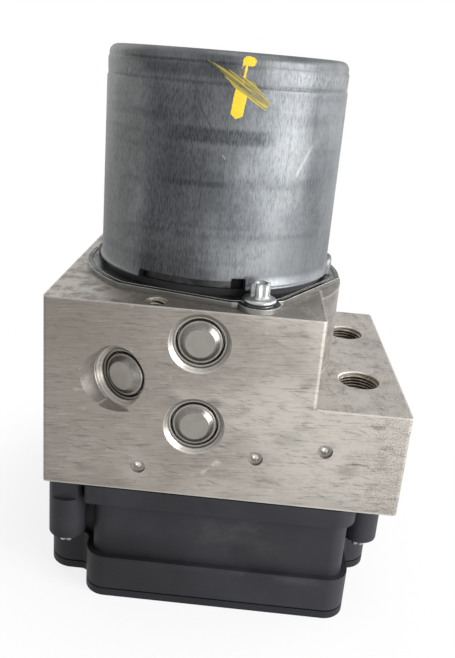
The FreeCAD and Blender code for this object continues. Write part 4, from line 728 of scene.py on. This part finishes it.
# Motor can
def motorCan():
    # the wall's section runs from the inner lower edge round the lip, up to the middle of the top and back
    # inside; where the angle lies in the window or the slot, the lower edge is lifted and has no lip
    can = {"lip": 0.6, "shoulder": 2.65, "windowFrom": 237.0, "windowTo": 281.0, "windowHeight": 2.4,
           "slotTo": 287.5, "slotHeight": 3.4, "ringDrop": 8.7, "steps": 288}
    edges = np.radians([can["windowFrom"], can["windowTo"], can["slotTo"]])
    angle = np.linspace(0, 2 * math.pi, can["steps"], endpoint=False)
    angle = np.sort(np.concatenate([angle, edges - 0.0015, edges + 0.0015]))  # a sharp jump at each edge
    inWindow = (angle > edges[0]) & (angle < edges[1])
    inSlot = (angle > edges[1]) & (angle < edges[2])
    lift = np.where(inWindow, can["windowHeight"], 0) + np.where(inSlot, can["slotHeight"], 0)
    lip = np.where(inWindow | inSlot, 0.0, can["lip"])
    r, thick, base, top = shell["radius"], shell["thick"], shell["bottom"], shell["top"]
    inner, ring, shoulder = r - thick, top - can["ringDrop"], can["shoulder"]
    # columns: radius, height, share of the lift, share of the lip
    rows = [(inner, base, 1, 0), (r - 0.2, base, 1, 0), (r - 0.05, base, 1, 0.6), (r, base + 0.12, 1, 1),
            (r, base + 0.5, 1, 1), (r, base + 0.75, 1, 0.85), (r, base + 0.95, 1, 0.35), (r, base + 1.2, 1, 0),
            (r, base + 4.0, 0.6, 0), (r, base + 8.0, 0, 0)]
    rows += [(r, z, 0, 0) for z in np.linspace(base + 12, ring - 1.0, 8)]
    # the step below the rim, then the rounded shoulder
    rows += [(r, ring - 0.5, 0, 0), (r - 0.10, ring - 0.2, 0, 0), (r - 0.28, ring + 0.1, 0, 0),
             (r - 0.30, ring + 0.5, 0, 0), (r - 0.22, ring + 2.2, 0, 0), (r - 0.18, top - 4.6, 0, 0),
             (r - 0.20, top - 3.8, 0, 0), (r - 0.42, top - 3.4, 0, 0), (r - 0.50, top - 3.0, 0, 0)]
    bend = np.linspace(0.12, 1, 9) * math.pi / 2
    rows += [(r - 0.45 + shoulder * (math.cos(b) - 1), top + shoulder * (math.sin(b) - 1), 0, 0) for b in bend]
    # the end with its shallow dish and raised middle, then the inside
    rows += [(r - 6.0, top, 0, 0), (r - 6.6, top - 0.25, 0, 0), (r - 8.0, top - 0.35, 0, 0),
             (20.0, top - 0.35, 0, 0), (12.5, top - 0.35, 0, 0), (11.9, top - 0.1, 0, 0), (11.0, top, 0, 0),
             (4.0, top, 0, 0), (0.4, top, 0, 0), (0.4, top - thick, 0, 0), (inner - 0.5, top - thick, 0, 0),
             (inner, top - thick - 0.5, 0, 0)]
    rows = np.array(rows)
    radius = rows[:, :1] + rows[:, 3:] * lip[None]
    height = rows[:, 1:2] + rows[:, 2:3] * lift[None]
    return carriedRound(radius, angle, height), gridFaces(len(rows), len(angle), wrapRows=True)


def canLugs():
    # pressed lug: a rounded tab in (across, up), proud of the can by a smooth crown, its back inside the wall
    lugs = [{"turn": 0.0, "half": 3.6, "low": 100.9, "high": 107.6},
            {"turn": math.pi, "half": 3.3, "low": 100.9, "high": 104.6}]
    crown, columns, rows = 1.7, 17, 15
    side, up = np.meshgrid(np.linspace(-1, 1, columns), np.linspace(0, 1, rows))
    taper = np.sqrt(np.clip(1 - np.clip((up - 0.45) / 0.55, 0, 1) ** 2, 0.02, 1))
    proud = crown * np.clip(1 - np.abs(side) ** 5, 0, 1) ** 0.5 * np.clip((1 - up) * 6, 0, 1) ** 0.5
    faces = gridFaces(2 * rows, columns, wrapRows=True, wrapColumns=False)
    last = 2 * rows - 1
    for c in (0, columns - 1):
        faces += [[q * columns + c for q in (r, r + 1, last - 1 - r, last - r)] for r in range(rows - 1)]
    parts = []
    for lug in lugs:
        across = side * lug["half"] * taper
        height = lug["low"] + (lug["high"] - lug["low"]) * up
        out = np.sqrt(shell["radius"] ** 2 - across ** 2) + proud
        front = np.stack([out, across, height], -1)
        back = np.stack([np.full_like(out, shell["radius"] - shell["thick"] / 2), across, height], -1)
        parts.append((placed(np.concatenate([front, back[::-1]]), turn=lug["turn"]), faces))
    return parts


joined("motorCanShell", [motorCan()], "can_steel", instead="motor_can")
joined("motorCanLugs", canLugs(), "can_steel")
print("motor can made")


# Pump plugs
def pumpPlugs():
    # a section from the plug's foot over its rim to the raised disc, carried round and laid along each element
    plug = {"radius": 7.1, "foot": -8.0, "shoulder": -3.5, "rim": 6.5, "rimDrop": 1.6, "land": 5.75,
            "disc": 4.3, "discDrop": 0.41, "bore": 4.5, "boreDepth": 1.5, "steps": 72}
    elements = [(pump["upper"], 0.0, pump["reach"]), (pump["middle"], pump["slant"], pump["slantedReach"]),
                (pump["lower"], 0.0, pump["reach"])]
    foot, shoulder, rim, disc = plug["foot"], plug["shoulder"], -plug["rimDrop"], -plug["discDrop"]
    profile = softened([
        (0.02, foot + plug["boreDepth"], 0), (plug["bore"], foot + plug["boreDepth"], 0),
        (plug["bore"], foot, 0), (plug["radius"], foot, 0), (plug["radius"], shoulder - 0.3, 0.1),
        (plug["rim"] + 0.25, shoulder, 0.1), (plug["rim"], shoulder, 0.1),
        (plug["rim"], rim - 0.22, 0.15), (plug["rim"] - 0.25, rim, 0.15),
        (plug["land"] + 0.1, rim, 0.12), (plug["land"] - 0.1, rim + 0.1, 0.12),
        (plug["disc"] + 0.25, disc - 0.19, 0.15), (plug["disc"], disc + 0.01, 0.15),
        (plug["disc"] - 0.35, disc, 0.1), (2.0, disc, 0), (0.06, disc, 0), (0.02, disc, 0)])
    angle = np.linspace(0, 2 * math.pi, plug["steps"], endpoint=False)
    faces = gridFaces(len(profile), plug["steps"], wrapRows=True)
    parts = []
    for side in (-1, 1):
        for level, lean, reach in elements:
            points = carriedRound(profile[:, :1], angle, profile[:, 1:] + reach)
            parts.append((placed(points, "x", (0, 0, level), math.radians(side * (90 + lean))), faces))
    return parts


joined("pumpPlugs", pumpPlugs(), "plug_steel", instead="pump_caps")


# Screws
def starScrew(screw):
    # r(z, a) = profile radius + lobe depth * (|cos 3a| - 0.64) * 2: six round lobes with grooves between them
    flange, head, brim, shank, foot = (screw[key] for key in ("flange", "head", "brim", "shank", "foot"))
    top = brim + screw["headHeight"]
    # columns: radius, height, lobe depth
    rows = np.array([
        (0.02, foot, 0), (shank - 0.4, foot, 0), (shank, foot + 0.5, 0), (shank, 0, 0),
        (flange - 0.9, 0, 0), (flange - 0.35, 0.25, 0), (flange - 0.06, 0.7, 0), (flange, brim * 1.05, 0),
        (flange - 0.10, brim * 1.35, 0), (flange - 0.40, brim * 1.6, 0), (flange - 0.85, brim * 1.75, 0),
        (flange - 1.3, brim * 1.85, 0), (head + 0.15, brim * 2.1, 0.02), (head - 0.25, brim * 2.35, 0.26),
        (head - 0.36, brim * 2.6, 0.42), (head - 0.36, top - 0.55, 0.44), (head - 0.46, top - 0.22, 0.42),
        (head - 0.68, top - 0.04, 0.36), (head - 0.9, top, 0.26), (head * 0.60, top, 0.06),
        (head * 0.52, top - 0.25, 0.0), (head * 0.46, top - 1.3, 0.0), (0.02, top - 1.5, 0.0)])
    angle = np.linspace(0, 2 * math.pi, screw["steps"], endpoint=False)
    radius = rows[:, :1] + rows[:, 2:] * 2 * (np.abs(np.cos(3 * angle)) - 0.64)[None]
    return carriedRound(radius, angle, rows[:, 1:2]), gridFaces(len(rows), len(angle), wrapRows=True)


def motorScrews():
    screw = {"flange": 4.85, "head": 3.0, "brim": 1.0, "headHeight": 5.0, "shank": 2.4, "foot": -14.5,
             "angle": 291.8395, "circle": 41.8, "seat": 101.02, "turn": 0.3, "steps": 144}
    points, faces = starScrew(screw)
    places = []
    for half in (0, 180):
        a = math.radians(screw["angle"] - half)
        places.append((screw["circle"] * math.cos(a), screw["circle"] * math.sin(a), screw["seat"]))
    return [(placed(points, centre=place, turn=screw["turn"]), faces) for place in places]


def housingScrews():
    screw = {"flange": 4.6, "head": 3.0, "brim": 0.7, "headHeight": 2.6, "shank": 2.4, "foot": -29.5,
             "places": [(-38.2, -39.2), (56.0, -26.4), (56.0, 26.4), (-38.2, 39.2)], "seat": 19.98,
             "steps": 144}
    points, faces = starScrew(screw)
    points = points * [1, -1, -1]  # head down
    return [(points + [x, y, screw["seat"]], faces) for x, y in screw["places"]]


joined("motorScrews", motorScrews(), "screw_steel", instead="motor_screws")
joined("housingScrews", housingScrews(), "screw_steel", instead="housing_screws")
print("plugs and screws made")


# Threads in the ports
def threadCoil(root, crest, low, high):
    # a tooth, in (r, z), carried along a helix: z rises by one pitch for each turn, and both ends fade out
    thread = {"pitch": 1.0, "stepsPerTurn": 48, "sunk": 0.12, "fadeAngle": 1.2}
    pitch, foot = thread["pitch"], root + thread["sunk"]  # the foot lies inside the bore's wall
    tooth = np.array([(foot, -0.49), (root, -0.47), (crest + 0.04, -0.10), (crest, -0.05),
                      (crest, 0.05), (crest + 0.04, 0.10), (root, 0.47), (foot, 0.49)])
    turns = (high - low - pitch) / pitch
    angle = np.linspace(0, turns * 2 * math.pi, int(thread["stepsPerTurn"] * turns) + 1)[:, None]
    fade = np.clip(np.minimum(angle, angle[-1] - angle) / thread["fadeAngle"], 0.05, 1)
    radius = foot - (foot - tooth[None, :, 0]) * fade
    height = low + pitch * (0.5 + angle / (2 * math.pi)) + tooth[None, :, 1] * pitch * (0.3 + 0.7 * fade)
    faces = gridFaces(len(angle), len(tooth))
    for start in (0, (len(angle) - 1) * len(tooth)):  # the two ends are closed by fans
        faces += [[start, start + i, start + i + 1] for i in range(1, len(tooth) - 1)]
    return carriedRound(radius, angle, height), faces


def portThreads():
    # root and crest radius, depth of the last and the first turn, axis, middles of the mouths
    ledge, right, left, back, top = (block[key] for key in ("ledge", "right", "left", "halfDepth", "top"))
    ports = [
        (6.33, 5.72, -11.2, -0.15, "z", [(ledgePort["x"], side * ledgePort["y"], ledge) for side in (-1, 1)]),
        (4.98, 4.40, -12.6, -0.2, "x", [(right, y, 59.5) for y in (-34.0, -9.0, 9.0, 34.0)]),
        (2.98, 2.50, -9.6, -0.2, "left", [(left, y, 90.0) for y in (-14.0, 14.0)]),
        (2.98, 2.50, -9.6, -0.2, "back", [(22.0, back, 90.0)]),
        (2.98, 2.50, -7.6, -0.2, "z", [(-13.5, -40.5, top)])]
    parts = []
    for root, crest, low, high, axis, mouths in ports:
        points, faces = threadCoil(root, crest, low, high)
        parts += [(placed(points, axis, mouth), faces) for mouth in mouths]
    return parts


joined("portThreads", portThreads(), "block_aluminium", threadMetal)
print("threads made")


# Floor, light and camera
def floorPlane():
    # a white ground to what looks at it, with a faint share of the shadow near the unit
    stage = {"colour": (0.86, 0.86, 0.86), "half": 6.0,  # half the side, in metres
             "shadowCentre": (9, 15), "shadowReach": (62.0, 125.0), "shadowShare": 0.17}
    f = Finish("paleFloor", stage["colour"], 0.0, 0.9)
    full, none = stage["shadowReach"]
    near = f.step(f.ring(f.x, f.y, *stage["shadowCentre"]), none, full)
    glow = f.node("ShaderNodeEmission", {}, {"Color": (1, 1, 1, 1), "Strength": 1.0})
    bright = f.seen() * (1.0 - stage["shadowShare"] * near)
    mix = f.node("ShaderNodeMixShader", {}, {0: bright, 1: f.out(f.shader), 2: f.out(glow)})
    f.tree.links.new(mix.outputs[0], f.output.inputs["Surface"])
    half = stage["half"]
    corners = [(-half, -half, 0), (half, -half, 0), (half, half, 0), (-half, half, 0)]
    mesh = bpy.data.meshes.new("floor")
    mesh.from_pydata(corners, [], [(0, 1, 2, 3)])
    mesh.materials.append(f.material)
    floor = bpy.data.objects.new("floor", mesh)
    scene.collection.objects.link(floor)


def studioWorld():
    sky = {"colour": (0.94, 0.97, 1.0), "strength": 0.20}
    world = bpy.data.worlds.new("studio")
    scene.world = world
    world.use_nodes = True
    network = Network(world.node_tree)
    back = network.tree.nodes["Background"]
    back.inputs["Color"].default_value = (*sky["colour"], 1)
    back.inputs["Strength"].default_value = sky["strength"]
    white = network.node("ShaderNodeBackground", {}, {"Color": (1, 1, 1, 1), "Strength": 1.0})
    sockets = {0: network.seen(), 1: network.out(back), 2: network.out(white)}
    mix = network.node("ShaderNodeMixShader", {}, sockets)
    network.tree.links.new(mix.outputs[0], network.tree.nodes["World Output"].inputs["Surface"])


def softboxes():
    middle = (0, 0, 0.09)
    lamps = {  # place, target, width and height, watts, colour; lengths in metres
        "keyRight": ((0.86, -0.42, 0.34), middle, (0.50, 0.80), 15.0, (1.0, 0.99, 0.98)),
        "backLeft": ((-0.72, 0.62, 0.45), middle, (0.5, 0.9), 1.6, (0.97, 0.99, 1.0)),
        "backRight": ((0.85, 0.44, 0.36), middle, (0.6, 0.9), 5.0, (1, 1, 1)),
        "overhead": ((0.10, -0.05, 1.05), middle, (0.7, 0.7), 3.2, (1, 1, 1)),
        "frontLow": ((0.46, -0.72, 0.07), (0.02, -0.04, 0.06), (0.40, 0.12), 2.2, (1, 1, 1))}
    for name, (place, target, size, power, colour) in lamps.items():
        lamp = bpy.data.lights.new(name, "AREA")
        lamp.shape = "RECTANGLE"
        lamp.size, lamp.size_y = size
        lamp.energy = power
        lamp.color = colour
        holder = bpy.data.objects.new(name, lamp)
        scene.collection.objects.link(holder)
        holder.location = place
        holder.rotation_euler = (Vector(target) - Vector(place)).to_track_quat("-Z", "Y").to_euler()


def camera():
    # focal length and centre in pixels of the picture, angles in degrees, place in millimetres
    shot = {"focal": 710.609, "centreX": 222.681, "centreY": 293.757, "width": 455, "height": 658,
            "pitch": 17.957, "roll": 4.726, "yaw": 1.863, "place": (11.236, -229.875, 164.657), "sensor": 36.0}
    pitch, roll, yaw = (math.radians(shot[key]) for key in ("pitch", "roll", "yaw"))
    turn = Matrix.Rotation(yaw, 3, "Z") @ Matrix.Rotation(-pitch, 3, "X")
    right, ahead, up = (turn @ Vector(v) for v in ((1, 0, 0), (0, 1, 0), (0, 0, 1)))
    right, up = math.cos(roll) * right + math.sin(roll) * up, math.cos(roll) * up - math.sin(roll) * right
    lens = bpy.data.cameras.new("viewpoint")
    eye = bpy.data.objects.new("viewpoint", lens)
    scene.collection.objects.link(eye)
    matrix = Matrix((right, up, -ahead)).transposed().to_4x4()
    matrix.translation = Vector(shot["place"]) * mm
    eye.matrix_world = matrix
    lens.sensor_fit = "VERTICAL"
    lens.sensor_height = shot["sensor"]
    lens.lens = shot["focal"] * shot["sensor"] / shot["height"]
    lens.shift_x = -(shot["centreX"] - shot["width"] / 2) / shot["height"]
    lens.shift_y = (shot["centreY"] - shot["height"] / 2) / shot["height"]
    lens.clip_start = 0.01
    scene.camera = eye


floorPlane()
studioWorld()
softboxes()
camera()
scene.view_settings.view_transform = "Standard"
print("stage, lights and camera set")
